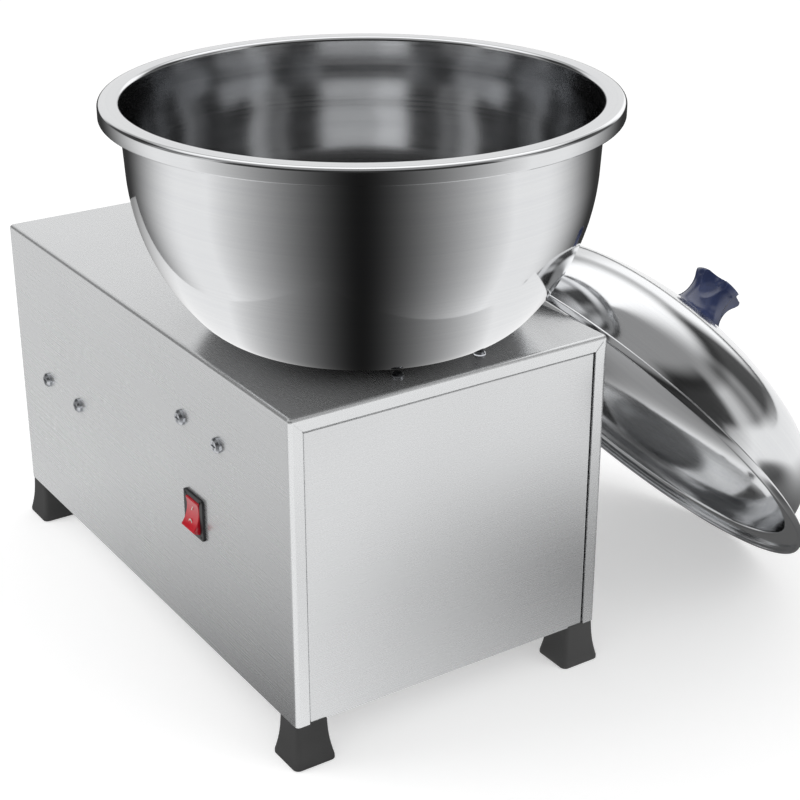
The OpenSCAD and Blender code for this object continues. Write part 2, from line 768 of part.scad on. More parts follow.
module bowl() {
    color(polished) translate([spindle_x, 0, bowl_z]) difference() {
        rotate_extrude() {
            difference() {
                union() {
                    bowl_outline(0);
                    rim_outline(0);
                }
                bowl_outline(bowl_t);
                rim_outline(bowl_t);
            }
            // bead that closes the lip
            translate([bowl_rim_r - bowl_bead_r, bowl_h - bowl_lip_h + bowl_bead_r]) circle(r = bowl_bead_r);
        }
        translate([-spindle_x, 0, -bowl_z]) seat_holes(bowl_z - cut, bowl_t + 2 * cut, boss_r - 2);
    }
}

module bowl_gasket() {
    color(rubber) difference() {
        translate([spindle_x, 0, body_h]) cylinder(r = gasket_r, h = gasket_t);
        seat_holes(body_h - cut, gasket_t + 2 * cut, boss_r);
    }
}

// The flanged boss inside the bowl: it clamps the bowl and carries the upper shaft seal
module bowl_boss() {
    color(cast) difference() {
        translate([spindle_x, 0, boss_z]) {
            cylinder(r = boss_flange_r, h = boss_flange_t);
            translate([0, 0, boss_flange_t]) cylinder(r1 = boss_r + 4, r2 = boss_r, h = 4);
            cylinder(r = boss_r, h = boss_flange_t + boss_h);
        }
        seat_holes(boss_z - cut, boss_flange_t + 2 * cut, spindle_r + loose);
        translate([spindle_x, 0, boss_z]) cylinder(r = spindle_r + loose, h = boss_flange_t + boss_h + cut);
        translate([spindle_x, 0, boss_top - bowl_seal_h]) cylinder(r = boss_r - 4, h = bowl_seal_h + cut);
    }
}

module bowl_seal() {
    color(rubber) translate([spindle_x, 0, boss_top - bowl_seal_h])
        ring(boss_r - 4 - seat, spindle_r + run, bowl_seal_h);
}

module bowl_screws() {
    color(zinc) translate([spindle_x, 0, boss_z + boss_flange_t]) for (k = [0 : bowl_screw_n - 1])
        rotate(45 + k * 360 / bowl_screw_n) translate([bowl_screw_pcr, 0, 0])
            pan_screw(bolt_r, bolt_head_r, bolt_head_h, boss_z + boss_flange_t - gear_flange_z);
}

module top_stiffener() {
    color(zinc) difference() {
        translate([spindle_x - stiffener_l / 2, -stiffener_w / 2, stiffener_z])
            cube([stiffener_l, stiffener_w, stiffener_t]);
        seat_holes(stiffener_z - cut, stiffener_t + 2 * cut, seal_r);
        translate([spindle_x, 0, stiffener_z - cut]) at_corners(top_screw_l / 2, top_screw_w / 2)
            cylinder(r = screw_r + run, h = stiffener_t + 2 * cut);
    }
}

module top_screws() {
    color(zinc) translate([spindle_x, 0, body_h]) at_corners(top_screw_l / 2, top_screw_w / 2)
        pan_screw(screw_r, screw_head_r, screw_head_h, sheet_t + stiffener_t + screw_r);
}

// One arm: it curves out of the hub, climbs along the bowl's belly and ends in a ball
module agitator_arm() {
    start_a = 15;
    rotate([0, -arm_slope, 0]) translate([arm_sweep_r, 0, 0]) rotate(180 + start_a) {
        rotate_extrude(angle = arm_sweep_a - start_a) translate([arm_sweep_r, 0]) circle(r = arm_r);
        rotate(arm_sweep_a - start_a) translate([arm_sweep_r, 0, 0]) sphere(r = arm_tip_r);
    }
}

module agitator() {
    color(polished) translate([spindle_x, 0, 0]) difference() {
        union() {
            translate([0, 0, hub_z]) cylinder(r = hub_r, h = hub_h);
            translate([0, 0, hub_z + hub_h]) cylinder(r1 = hub_r, r2 = hub_r - 4, h = 4);
            for (a = [0, 180]) rotate(a) translate([0, 0, hub_z + arm_r]) agitator_arm();
        }
        intersection() {
            translate([0, 0, hub_z - cut]) cylinder(r = spindle_r + seat, h = hub_h + 4 + 2 * cut);
            translate([-drive_flat - seat, -spindle_r - cut, hub_z - cut])
                cube([2 * (drive_flat + seat), 2 * (spindle_r + cut), hub_h + 4 + 2 * cut]);
        }
        translate([0, 0, hub_z - cut]) cylinder(r = drive_flat, h = cut + lay);
    }
}

module agitator_nut() {
    nut_z = hub_z + hub_h + 4;
    color(polished) translate([spindle_x, 0, nut_z]) difference() {
        union() {
            cylinder(r = nose_r * 1.9, h = nut_h, $fn = 6);
            intersection() {
                translate([0, 0, nut_h]) sphere(r = nose_r * 1.55);
                translate([-nose_r * 2, -nose_r * 2, nut_h]) cube(nose_r * 4);
            }
        }
        translate([0, 0, -cut]) cylinder(r = nose_r + seat, h = nose_l + cut + lay);
    }
}

module spindle() {
    color(steel) translate([spindle_x, 0, 0]) {
        translate([0, 0, spindle_low]) cylinder(r = spindle_r, h = drive_z - spindle_low);
        translate([0, 0, collar_z]) cylinder(r = collar_r, h = collar_h);
        intersection() {
            translate([0, 0, drive_z]) cylinder(r = spindle_r, h = hub_h + 4);
            translate([-drive_flat, -spindle_r, drive_z]) cube([2 * drive_flat, 2 * spindle_r, hub_h + 4]);
        }
        translate([0, 0, drive_z]) cylinder(r = nose_r, h = hub_h + 4 + nose_l);
    }
}

// The wheel's teeth as a list of points: root, tip, tip, root for each tooth
function wheel_points() =
    let (
        half_t = pitch / 4 - backlash,
        half_tip = half_t - (wheel_tip_r - wheel_pitch_r) * tan(pressure_a),
        half_root = half_t + (wheel_pitch_r - wheel_root_r) * tan(pressure_a),
        tip_a = half_tip / wheel_tip_r * 180 / PI,
        root_a = half_root / wheel_root_r * 180 / PI
    )
    [for (k = [0 : wheel_teeth - 1], p = [[wheel_root_r, -root_a], [wheel_tip_r, -tip_a],
        [wheel_tip_r, tip_a], [wheel_root_r, root_a]])
        let (a = (k + 0.5) * 360 / wheel_teeth - 90 + p[1]) [p[0] * cos(a), p[0] * sin(a)]];

module worm_wheel() {
    wheel_hub_r = spindle_r + 6;
    wheel_hub_l = wheel_w + 2 * (wheel_room - 1);
    color(bronze) translate([spindle_x, 0, worm_z]) difference() {
        union() {
            translate([0, 0, -wheel_w / 2]) rotate(wheel_twist / 2)
                linear_extrude(height = wheel_w, twist = wheel_twist, slices = 4) polygon(wheel_points());
            translate([0, 0, -wheel_hub_l / 2]) cylinder(r = wheel_hub_r, h = wheel_hub_l);
        }
        translate([0, 0, -wheel_hub_l]) cylinder(r = spindle_r + seat, h = 2 * wheel_hub_l);
        // holes that lighten the web
        for (k = [0 : 5]) rotate(k * 60)
            translate([(wheel_root_r + wheel_hub_r) / 2, 0, -wheel_w]) cylinder(r = 4.5, h = 2 * wheel_w);
    }
}

// The worm's section: a circle off the shaft's centre, which makes one round thread when it turns
function worm_points() = [for (a = [0 : 15 : 345]) worm_pitch_r * [cos(a), sin(a)] + [worm_ecc, 0]];

// The worm: a single thread made by a circle that turns off its centre, on a plain shaft
module worm_shaft() {
    turns = worm_l / pitch;
    color(steel) along_x(spindle_x, worm_y, worm_z) {
        translate([0, 0, -worm_l / 2]) rotate(90 + 180 * turns)
            linear_extrude(height = worm_l, twist = 360 * turns, slices = ceil(turns * 12), $fn = 24)
                polygon(worm_points());
        translate([0, 0, worm_shaft_start - spindle_x])
            cylinder(r = shaft_r, h = worm_shaft_end - worm_shaft_start);
    }
}

module gearbox_casing() {
    pad_l = gear_bolt_pitch + 4 * bolt_head_r;
    pad_z = gear_bolt_z - pad_h / 2;
    arm_l = in_y - neck_r / 2;
    color(cast) difference() {
        union() {
            translate([spindle_x, 0, 0]) {
                translate([0, 0, chamber_z]) cylinder(r = casing_r, h = chamber_top + gear_wall - chamber_z);
                translate([0, 0, chamber_top]) cylinder(r = neck_r, h = gear_flange_z - chamber_top + cut);
                translate([0, 0, gear_flange_z]) cylinder(r = gear_flange_r, h = gear_flange_t - lay);
            }
            along_x(tunnel_x, worm_y, worm_z) cylinder(r = tunnel_r, h = tunnel_l);
            // pad on the side wall, its arm and the rib on the arm
            translate([pad_x, -in_y + lay, pad_z]) {
                translate([-pad_l / 2, 0, 0]) cube([pad_l, pad_t, pad_h]);
                translate([-gear_arm_w / 2, 0, 0]) cube([gear_arm_w, arm_l, gear_wall + 2]);
                translate([-gear_wall / 2, 0, 0]) cube([gear_wall, arm_l, pad_h]);
            }
        }
        translate([spindle_x, 0, chamber_z - cut]) cylinder(r = chamber_r, h = chamber_top - chamber_z + cut);
        translate([spindle_x, 0, upper_bearing_z - cut])
            cylinder(r = spindle_bearing_r, h = spindle_bearing_w + lay + cut);
        translate([spindle_x, 0, chamber_top]) cylinder(r = spindle_r + 3, h = body_h);
        translate([spindle_x, 0, seal_z]) cylinder(r = seal_r, h = body_h);
        along_x(tunnel_x - cut, worm_y, worm_z) cylinder(r = shaft_bearing_r, h = tunnel_l + 2 * cut);
        translate([spindle_x, 0, gear_flange_z - cut]) for (k = [0 : bowl_screw_n - 1])
            rotate(45 + k * 360 / bowl_screw_n) translate([bowl_screw_pcr, 0, 0])
                cylinder(r = bolt_r + run, h = gear_flange_t + 2 * cut);
        at_bolts(pad_x, gear_bolt_z, gear_bolt_pitch)
            translate([0, 0, -sheet_t - pad_t - cut]) cylinder(r = bolt_r + run, h = pad_t + 2 * cut);
        cover_screw_places(chamber_z - cut, 12 + cut, screw_r + run);
    }
}

// Drills the holes of the cover's screws
module cover_screw_places(z, h, r) {
    for (k = [0 : 5]) translate([spindle_x, 0, z]) rotate(30 + k * 60)
        translate([chamber_r + gear_wall / 2, 0, 0]) cylinder(r = r, h = h);
}

module gearbox_cover() {
    // the spindle stops short of the cover's floor
    color(cast) difference() {
        translate([spindle_x, 0, cover_z]) {
            cylinder(r = casing_r, h = gear_cover_t - lay);
            cylinder(r = chamber_r - lay, h = gear_cover_t + 2);
            cylinder(r = spindle_bearing_r + 4, h = gear_cover_t + spindle_bearing_w);
        }
        translate([spindle_x, 0, 0]) {
            translate([0, 0, lower_bearing_z]) cylinder(r = spindle_bearing_r, h = spindle_bearing_w + cut);
            translate([0, 0, cover_z + cover_floor_t]) cylinder(r = spindle_r + 2, h = spindle_bearing_w);
        }
        cover_screw_places(cover_z - cut, gear_cover_t + 2 * cut, screw_r + loose);
    }
}

module cover_screws() {
    color(zinc) for (k = [0 : 5]) translate([spindle_x, 0, cover_z]) rotate(30 + k * 60)
        translate([chamber_r + gear_wall / 2, 0, 0]) mirror([0, 0, 1])
            pan_screw(screw_r, screw_head_r * 0.85, screw_head_h, gear_cover_t + 4 * screw_r);
}

module worm_end_cap() {
    color(cast) along_x(spindle_x + tunnel_l / 2, worm_y, worm_z) {
        translate([0, 0, lay]) cylinder(r = tunnel_r, h = end_cap_t);
        translate([0, 0, lay - end_cap_lip])
            ring(shaft_bearing_r - seat, shaft_bearing_r - 3, end_cap_lip + lay);
    }
}

module spindle_upper_bearing() {
    color(steel) translate([spindle_x, 0, upper_bearing_z])
        bearing(spindle_bearing_r - seat, spindle_r + run, spindle_bearing_w);
}

module spindle_lower_bearing() {
    color(steel) translate([spindle_x, 0, lower_bearing_z])
        bearing(spindle_bearing_r - seat, spindle_r + run, spindle_bearing_w);
}

module oil_seal() {
    color(rubber) translate([spindle_x, 0, seal_z]) ring(seal_r - seat, spindle_r + run, seal_h - lay);
}

module worm_bearings() {
    reach = (tunnel_l - shaft_bearing_w) / 2 - end_cap_lip;
    color(steel) for (s = [-1, 1])
        along_x(spindle_x + s * reach - shaft_bearing_w / 2, worm_y, worm_z)
            bearing(shaft_bearing_r - seat, shaft_r + run, shaft_bearing_w);
}

// One hub of the jaw coupling: its jaws point along +Z
module coupling_hub() {
    difference() {
        translate([0, 0, -coupling_l]) cylinder(r = coupling_r, h = coupling_l);
        translate([0, 0, -coupling_l - cut]) cylinder(r = shaft_r + seat, h = coupling_l + 2 * cut);
    }
    for (k = [0 : jaw_n - 1]) rotate(k * 360 / jaw_n)
        translate([0, 0, -cut]) rotate_extrude(angle = jaw_a)
            translate([coupling_r * 0.45, 0]) square([coupling_r * 0.55 - 0.5, jaw_l - lay + cut]);
}

module coupling_hubs() {
    color(zinc) {
        along_x(coupling_x - jaw_l / 2, worm_y, worm_z) coupling_hub();
        along_x(coupling_x + jaw_l / 2, worm_y, worm_z) rotate(180 / jaw_n) mirror([0, 0, 1])
            mirror([0, 1, 0]) rotate(-jaw_a) coupling_hub();
    }
}

// The rubber star between the jaws
module coupling_spider() {
    gap_a = 180 / jaw_n - jaw_a;
    slack = 0.8;
    color(rubber) along_x(coupling_x - jaw_l / 2 + lay, worm_y, worm_z) {
        cylinder(r = coupling_r * 0.45 - lay, h = jaw_l - 2 * lay);
        for (k = [0 : 2 * jaw_n - 1]) rotate(k * 180 / jaw_n + jaw_a + slack)
            rotate_extrude(angle = gap_a - 2 * slack)
                translate([coupling_r * 0.3, 0]) square([coupling_r * 0.66, jaw_l - 2 * lay]);
    }
}

module motor_shaft() {
    color(steel) along_x(shaft_rear, worm_y, worm_z) cylinder(r = shaft_r, h = motor_shaft_end - shaft_rear);
}

module rotor_core() {
    end_ring = 5;
    color(zinc) along_x(motor_x - rotor_l / 2, worm_y, worm_z) {
        ring(rotor_r, shaft_r + seat, rotor_l);
        for (z = [-end_ring, rotor_l]) translate([0, 0, z]) ring(rotor_r - 2, rotor_r - 10, end_ring);
    }
}

module cooling_fan() {
    hub = shaft_r + 6;
    color(plastic_black) along_x(fan_x, worm_y, worm_z) difference() {
        union() {
            cylinder(r = hub, h = fan_l);
            translate([0, 0, fan_l - 2]) cylinder(r = fan_r - 4, h = 2);
            for (k = [0 : fan_n - 1]) rotate(k * 360 / fan_n)
                translate([hub - 1, -1, 0]) cube([fan_r - hub + 1, 2, fan_l]);
        }
        translate([0, 0, -cut]) cylinder(r = shaft_r + seat, h = fan_l + 2 * cut);
    }
}

module motor_casing() {
    color(cast) along_x(motor_rear, worm_y, worm_z) linear_extrude(height = motor_l) difference() {
        union() {
            circle(r = motor_r - fin_d);
            for (k = [0 : fin_n - 1]) rotate((k + 0.5) * 360 / fin_n)
                translate([0, -fin_t / 2]) square([motor_r, fin_t]);
        }
        circle(r = casing_in_r);
    }
}

// An end cap of the motor, its outer face towards +Z
module motor_cap() {
    difference() {
        union() {
            cylinder(r = motor_r - fin_d + 2, h = motor_cap_t - 5);
            cylinder(r = shaft_bearing_r + 8, h = motor_cap_t);
        }
        translate([0, 0, -cut]) cylinder(r = shaft_r + 1, h = motor_cap_t + 2 * cut);
        translate([0, 0, -cut]) cylinder(r = shaft_bearing_r, h = shaft_bearing_w + lay + cut);
        for (k = [0 : 7]) rotate(k * 45) translate([casing_in_r - 10, 0, -cut])
            cylinder(r = 4, h = motor_cap_t + 2 * cut);
    }
}

module motor_front_cap() {
    color(cast) along_x(motor_front, worm_y, worm_z) motor_cap();
}

module motor_rear_cap() {
    color(cast) translate([motor_rear, worm_y, worm_z]) rotate([0, -90, 0]) motor_cap();
}

module motor_bearings() {
    color(steel) {
        along_x(motor_front, worm_y, worm_z) bearing(shaft_bearing_r - seat, shaft_r + run, shaft_bearing_w);
        along_x(motor_rear - shaft_bearing_w, worm_y, worm_z)
            bearing(shaft_bearing_r - seat, shaft_r + run, shaft_bearing_w);
    }
}

module stator_core() {
    color(zinc) along_x(motor_x - rotor_l / 2, worm_y, worm_z)
        ring(casing_in_r - seat, rotor_r + air_gap, rotor_l);
}

// The ends of the winding on both faces of the stator
module windings() {
    coil_r = (casing_in_r - rotor_r) / 3;
    mid_r = (casing_in_r + rotor_r) / 2;
    color(copper) for (s = [-1, 1])
        along_x(motor_x + s * rotor_l / 2, worm_y, worm_z) rotate_extrude() intersection() {
            translate([mid_r, 0]) circle(r = coil_r);
            translate([0, s > 0 ? lay : -coil_r - lay]) square([motor_r, coil_r]);
        }
}

// The motor's bracket: a plate on the side wall with two shelves cut to the casing's round
module motor_bracket() {
    shelf_l = in_y + worm_y - lay - motor_r * 0.3;
    color(zinc) difference() {
        translate([motor_x - bracket_l / 2, -in_y + lay, worm_z - bracket_h / 2]) {
            cube([bracket_l, bracket_t, bracket_h]);
            for (z = [0, bracket_h - shelf_t]) translate([0, 0, z]) cube([bracket_l, shelf_l, shelf_t]);
        }
        along_x(motor_x - bracket_l, worm_y, worm_z) cylinder(r = motor_r + lay, h = 2 * bracket_l);
        at_bolts(motor_x, worm_z, motor_bolt_pitch) translate([0, 0, -sheet_t - bracket_t - cut])
            cylinder(r = bolt_r + loose, h = bracket_t + 2 * cut);
    }
}

module bracket_nuts() {
    color(zinc) at_bolts(motor_x, worm_z, motor_bolt_pitch)
        translate([0, 0, -sheet_t - bracket_t - 2 * lay - bracket_nut_t]) difference() {
            cylinder(r = bolt_r * 1.9, h = bracket_nut_t, $fn = 6);
            translate([0, 0, -cut]) cylinder(r = bolt_r + run, h = bracket_nut_t + 2 * cut);
        }
}

module side_bolts() {
    color(zinc) {
        at_bolts(motor_x, worm_z, motor_bolt_pitch)
            pan_screw(bolt_r, bolt_head_r, bolt_head_h, sheet_t + bracket_t + bracket_nut_t + 1);
        at_bolts(pad_x, gear_bolt_z, gear_bolt_pitch)
            pan_screw(bolt_r, bolt_head_r, bolt_head_h, sheet_t + pad_t);
    }
}

// The run capacitor lies on the base plate beside the motor
module capacitor() {
    cap_y = in_y - base_flange_w - capacitor_r - 12;
    color(plastic_black) along_x(motor_x - capacitor_l / 2, cap_y, base_t + capacitor_r + 2.2) {
        cylinder(r = capacitor_r, h = capacitor_l);
        for (s = [-1, 1]) translate([0, s * capacitor_r * 0.4, capacitor_l]) translate([-3, -0.4, -cut])
            cube([6, 0.8, 9]);
    }
}

module capacitor_clip() {
    cap_y = in_y - base_flange_w - capacitor_r - 12;
    clip_w = 20;
    clip_t = 1.6;
    color(zinc) translate([motor_x - clip_w / 2, cap_y, base_t + capacitor_r + 2.2]) rotate([90, 0, 90])
        linear_extrude(height = clip_w) {
            difference() {
                circle(r = capacitor_r + lay + clip_t);
                circle(r = capacitor_r + lay);
                translate([-capacitor_r, capacitor_r * 0.5]) square([2 * capacitor_r, capacitor_r]);
            }
            translate([-capacitor_r, -capacitor_r - 2.2 + lay]) square([2 * capacitor_r, clip_t]);
        }
}

module terminal_block() {
    pole_w = 12;
    poles = 4;
    panel_room = 24;
    color("#e8e6de") translate([panel_room - panel_x, gland_y - poles * pole_w / 2, base_t + lay]) difference() {
        union() {
            cube([20, poles * pole_w, 8]);
            translate([5, 0, 0]) cube([10, poles * pole_w, 15]);
        }
        for (k = [0 : poles - 1]) translate([10, (k + 0.5) * pole_w, 7]) cylinder(r = 2.6, h = 10);
    }
}

// The cable's inlet in the rear panel: a flange, a domed cap and a thread behind the panel
module cable_gland() {
    flange_t = 4;
    neck_h = 6;
    cap_h = 5;
    thread_l = 8;
    color(plastic_black) translate([-panel_x, gland_y, gland_z]) rotate([0, -90, 0]) difference() {
        union() {
            translate([0, 0, lay]) cylinder(r = gland_r + 4, h = flange_t, $fn = 6);
            translate([0, 0, flange_t]) cylinder(r = gland_r + 1, h = neck_h);
            translate([0, 0, flange_t + neck_h])
                cylinder(r1 = gland_r + 1, r2 = gland_bore_r + 1.5, h = cap_h);
            translate([0, 0, -sheet_t - thread_l]) cylinder(r = gland_r, h = thread_l + sheet_t + flange_t);
        }
        translate([0, 0, -sheet_t - thread_l - cut])
            cylinder(r = gland_bore_r, h = thread_l + sheet_t + flange_t + neck_h + cap_h + 2 * cut);
    }
}

module gland_nut() {
    color(plastic_black) translate([-panel_in_x + lay, gland_y, gland_z]) rotate([0, 90, 0]) difference() {
        cylinder(r = gland_r + 4, h = 4, $fn = 6);
        translate([0, 0, -cut]) cylinder(r = gland_r + run, h = 4 + 2 * cut);
    }
}

module switch_body() {
    cavity_h = 2 * (rocker_r + rocker_gap);
    cavity_w = rocker_w + 2 * rocker_gap;
    tab = [6, 0.8, 8];
    color(plastic_black) difference() {
        out_of_side(switch_mid_x, -body_w / 2, switch_z) {
            translate([-bezel_w / 2, -bezel_h / 2, 0]) cube([bezel_w, bezel_h, bezel_t]);
            translate([-switch_box_w / 2, -switch_box_h / 2, -switch_d])
                cube([switch_box_w, switch_box_h, switch_d + cut]);
            // contact tabs
            for (sx = [-1, 1], sz = [-1, 1])
                translate([sx * switch_box_w / 4, sz * switch_box_h / 4, -switch_d - tab[2] / 2])
                    cube(tab + [0, 0, cut], center = true);
        }
        translate([switch_mid_x - cavity_w / 2, switch_face_y - cut, switch_z - cavity_h / 2])
            cube([cavity_w, pivot_d + rocker_r + rocker_gap + cut, cavity_h]);
        along_x(switch_mid_x - rocker_w / 2 - pivot_pin_l - lay, pivot_y, switch_z)
            cylinder(r = pivot_pin_r + run, h = rocker_w + 2 * (pivot_pin_l + lay));
    }
}

// The rocker's side view, outwards along +X, its pivot at the origin
module rocker_outline() {
    tip_z = sqrt(rocker_r * rocker_r - rocker_tip * rocker_tip);
    hollow_x = rocker_tip + sqrt(rocker_hollow_r * rocker_hollow_r - tip_z * tip_z);
    difference() {
        intersection() {
            circle(r = rocker_r);
            translate([-rocker_back, -rocker_r]) square([rocker_back + rocker_tip, 2 * rocker_r]);
        }
        translate([hollow_x, 0]) circle(r = rocker_hollow_r);
    }
}

module switch_rocker() {
    color(plastic_red) translate([switch_mid_x, pivot_y, switch_z]) rotate([-rocker_tilt, 0, 0]) {
        translate([rocker_w / 2, 0, 0]) rotate([90, 0, -90])
            linear_extrude(height = rocker_w) rocker_outline();
        along_x(-rocker_w / 2 - pivot_pin_l, 0, 0) cylinder(r = pivot_pin_r, h = rocker_w + 2 * pivot_pin_l);
    }
}

// Places its children in the lid's own frame: the flange's underside at Z = 0, the dome along +Z
module on_lid() {
    translate([lid_x, lid_y, lid_z]) rotate([-lid_tilt, 0, 0]) children();
}

// The dome's filled outline beside its axis, its faces moved inwards by i
module dome_outline(i) {
    reach = 2 * lid_crown_r;
    translate([0, -cut]) square([lid_neck_r - i, lid_shoulder_z + cut]);
    intersection() {
        translate([lid_shoulder_x, lid_shoulder_z]) circle(r = lid_shoulder_r - i);
        translate([lid_shoulder_x, lid_shoulder_z]) square(lid_shoulder_r);
    }
    intersection() {
        translate([0, lid_crown_z]) circle(r = lid_crown_r - i);
        polygon([[0, lid_crown_z], [reach * sin(lid_crown_a), lid_crown_z + reach * cos(lid_crown_a)],
            [0, lid_crown_z + reach]]);
    }
    polygon([[0, 0], [lid_shoulder_x, 0], [lid_shoulder_x, lid_shoulder_z], [0, lid_shoulder_z]]);
}

module lid() {
    color(polished) on_lid() difference() {
        rotate_extrude() {
            difference() {
                dome_outline(0);
                dome_outline(lid_t);
                translate([0, -2 * cut]) square([lid_r, 2 * cut]);
            }
            // flange, its turned-down edge and the bead that closes it
            translate([lid_neck_r - lid_t, 0]) square([lid_r - lid_neck_r + lid_t - lid_bead_r, lid_t]);
            translate([lid_r - lid_t, lid_bead_r - lid_lip_h])
                square([lid_t, lid_lip_h - 2 * lid_bead_r + lid_t]);
            translate([lid_r - lid_bead_r, lid_t - lid_bead_r]) circle(r = lid_bead_r);
            translate([lid_r - lid_bead_r, -lid_lip_h + lid_bead_r]) circle(r = lid_bead_r);
        }
        translate([0, 0, lid_dome_h / 2]) cylinder(r = screw_r + loose, h = lid_dome_h);
    }
}

module lid_knob() {
    waist_z = (knob_base_h + knob_h - knob_rim_h) / 2;
    waist_h = knob_h - knob_rim_h - knob_base_h;
    waist_cut = (pow(waist_h / 2, 2) + pow(knob_top_r - knob_waist_r, 2)) / (2 * (knob_top_r - knob_waist_r));
    dish_r = 60;
    color(plastic_blue) on_lid() translate([0, 0, lid_dome_h]) difference() {
        union() {
            translate([0, 0, -2]) rotate_extrude() {
                square([knob_base_r - 2, knob_base_h + 2]);
                square([knob_base_r, knob_base_h]);
                translate([knob_base_r - 2, knob_base_h]) circle(r = 2);
            }
            rotate_extrude() difference() {
                union() {
                    translate([0, knob_base_h - cut]) square([knob_top_r, knob_h - 2 - knob_base_h + cut]);
                    square([knob_top_r - 2, knob_h]);
                    translate([knob_top_r - 2, knob_h - 2]) circle(r = 2);
                }
                translate([knob_waist_r + waist_cut, waist_z]) circle(r = waist_cut);
            }
            translate([0, 0, knob_base_h - 0.5]) cylinder(r1 = knob_base_r - 2, r2 = knob_waist_r, h = 6);
        }
        // finger hollows, the dished top, the dome under the base and the screw hole
        for (k = [0 : knob_hollow_n - 1]) rotate(k * 360 / knob_hollow_n)
            translate([knob_top_r + knob_hollow_r - knob_hollow_d, 0, waist_z])
                cylinder(r = knob_hollow_r, h = knob_h);
        translate([0, 0, knob_h - 2 + dish_r]) sphere(r = dish_r);
        translate([0, 0, -lid_crown_r]) sphere(r = lid_crown_r + lay, $fn = 180);
        translate([0, 0, -cut]) cylinder(r = screw_r + run, h = knob_screw_l);
    }
}

module knob_screw() {
    color(zinc) on_lid() translate([0, 0, lid_dome_h - lid_t - washer_drop - washer_t - loose]) {
        mirror([0, 0, 1]) pan_screw(screw_r, screw_head_r, screw_head_h, knob_screw_l - 2);
        ring(washer_r, screw_r - seat, washer_t);
    }
}

housing();
front_panel();
rear_panel();
base_plate();
base_screws();
foot(1, -1);  // foot_front_left
foot(1, 1);  // foot_front_right
foot(-1, -1);  // foot_rear_left
foot(-1, 1);  // foot_rear_right
foot_screws();
bowl();
bowl_gasket();
bowl_boss();
bowl_seal();
bowl_screws();
top_stiffener();
top_screws();
agitator();
agitator_nut();
spindle();
worm_wheel();
worm_shaft();
oil_seal();
gearbox_casing();
gearbox_cover();
cover_screws();
worm_end_cap();
spindle_upper_bearing();
spindle_lower_bearing();
worm_bearings();
coupling_hubs();
coupling_spider();
motor_shaft();
rotor_core();
cooling_fan();
motor_casing();
motor_front_cap();
motor_rear_cap();
stator_core();
windings();
motor_bearings();
motor_bracket();
bracket_nuts();
side_bolts();
capacitor();
capacitor_clip();
terminal_block();
cable_gland();
gland_nut();
switch_body();
switch_rocker();
lid();
lid_knob();
knob_screw();
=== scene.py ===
# %% [markdown]
# # Electric dough mixer
#
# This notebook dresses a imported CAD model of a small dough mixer: a folded stainless box on four
# rubber feet, a mirror-polished bowl on its top, a rocker switch on the long side and a domed lid
# that leans behind it. The CAD model is the frame, and nothing in it is moved. Blender adds the
# finishes, and new pieces where a softer or smoother form is needed than the CAD solid has.

from math import acos, asin, cos, degrees, pi, radians, sin, sqrt
import json

import bpy
from mathutils import Matrix, Vector


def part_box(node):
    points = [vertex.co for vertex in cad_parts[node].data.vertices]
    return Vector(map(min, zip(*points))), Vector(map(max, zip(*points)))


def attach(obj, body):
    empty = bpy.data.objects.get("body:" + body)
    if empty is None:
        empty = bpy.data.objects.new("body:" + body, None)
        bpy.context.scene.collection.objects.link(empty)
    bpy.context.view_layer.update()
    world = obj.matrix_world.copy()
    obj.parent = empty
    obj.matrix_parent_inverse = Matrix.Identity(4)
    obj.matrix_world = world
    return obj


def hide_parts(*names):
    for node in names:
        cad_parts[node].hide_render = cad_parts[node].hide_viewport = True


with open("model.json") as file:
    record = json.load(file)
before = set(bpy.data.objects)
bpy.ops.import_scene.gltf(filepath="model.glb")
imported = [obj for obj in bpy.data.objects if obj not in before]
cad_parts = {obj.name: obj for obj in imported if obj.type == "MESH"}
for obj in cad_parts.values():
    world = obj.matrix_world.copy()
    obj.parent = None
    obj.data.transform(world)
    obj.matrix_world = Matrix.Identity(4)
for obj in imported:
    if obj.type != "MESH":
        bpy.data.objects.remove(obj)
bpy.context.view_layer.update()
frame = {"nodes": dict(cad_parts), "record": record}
cad = frame["nodes"]
MM = 0.001

# %% [markdown]
# ## Camera
#
# The photograph looks down on the near corner of the box, from the right of the switch side. The
# camera stands where the corners of the box fit the photograph best, with a normal lens of about
# 79 mm, no shift and no depth of field.

# %% Camera
CAMERA_PLACE = (1.0581, -0.5955, 0.6706)
CAMERA_PITCH = 24.38
CAMERA_YAW = 56.63
CAMERA_LENS = 79.4

bpy.ops.object.camera_add(
    location=CAMERA_PLACE,
    rotation=(radians(90 - CAMERA_PITCH), 0, radians(CAMERA_YAW)))
camera = bpy.context.object
camera.name = "photo_camera"
camera.data.lens = CAMERA_LENS
camera.data.sensor_width = 36
camera.data.clip_start = 0.01
bpy.context.scene.camera = camera
bpy.context.scene.view_settings.view_transform = "Standard"
print("camera", [round(x, 3) for x in camera.location], CAMERA_LENS, "mm")

# %% [markdown]
# ## Helpers for finishes
#
# A finish is a material made of nodes. `hex_colour` turns a colour from the sRGB hex code that
# people read into the linear numbers that Blender wants. `add_node` puts one node into a tree
# with its settings and links, so that each finish below reads as a short list.

# %% Colour and node helpers
def hex_colour(code):
    """Linear RGBA of an sRGB hex code such as '#c9cbcd'."""
    linear = []
    for k in (1, 3, 5):
        value = int(code[k:k + 2], 16) / 255
        linear.append(value / 12.92 if value <= 0.04045 else ((value + 0.055) / 1.055) ** 2.4)
    return (*linear, 1.0)


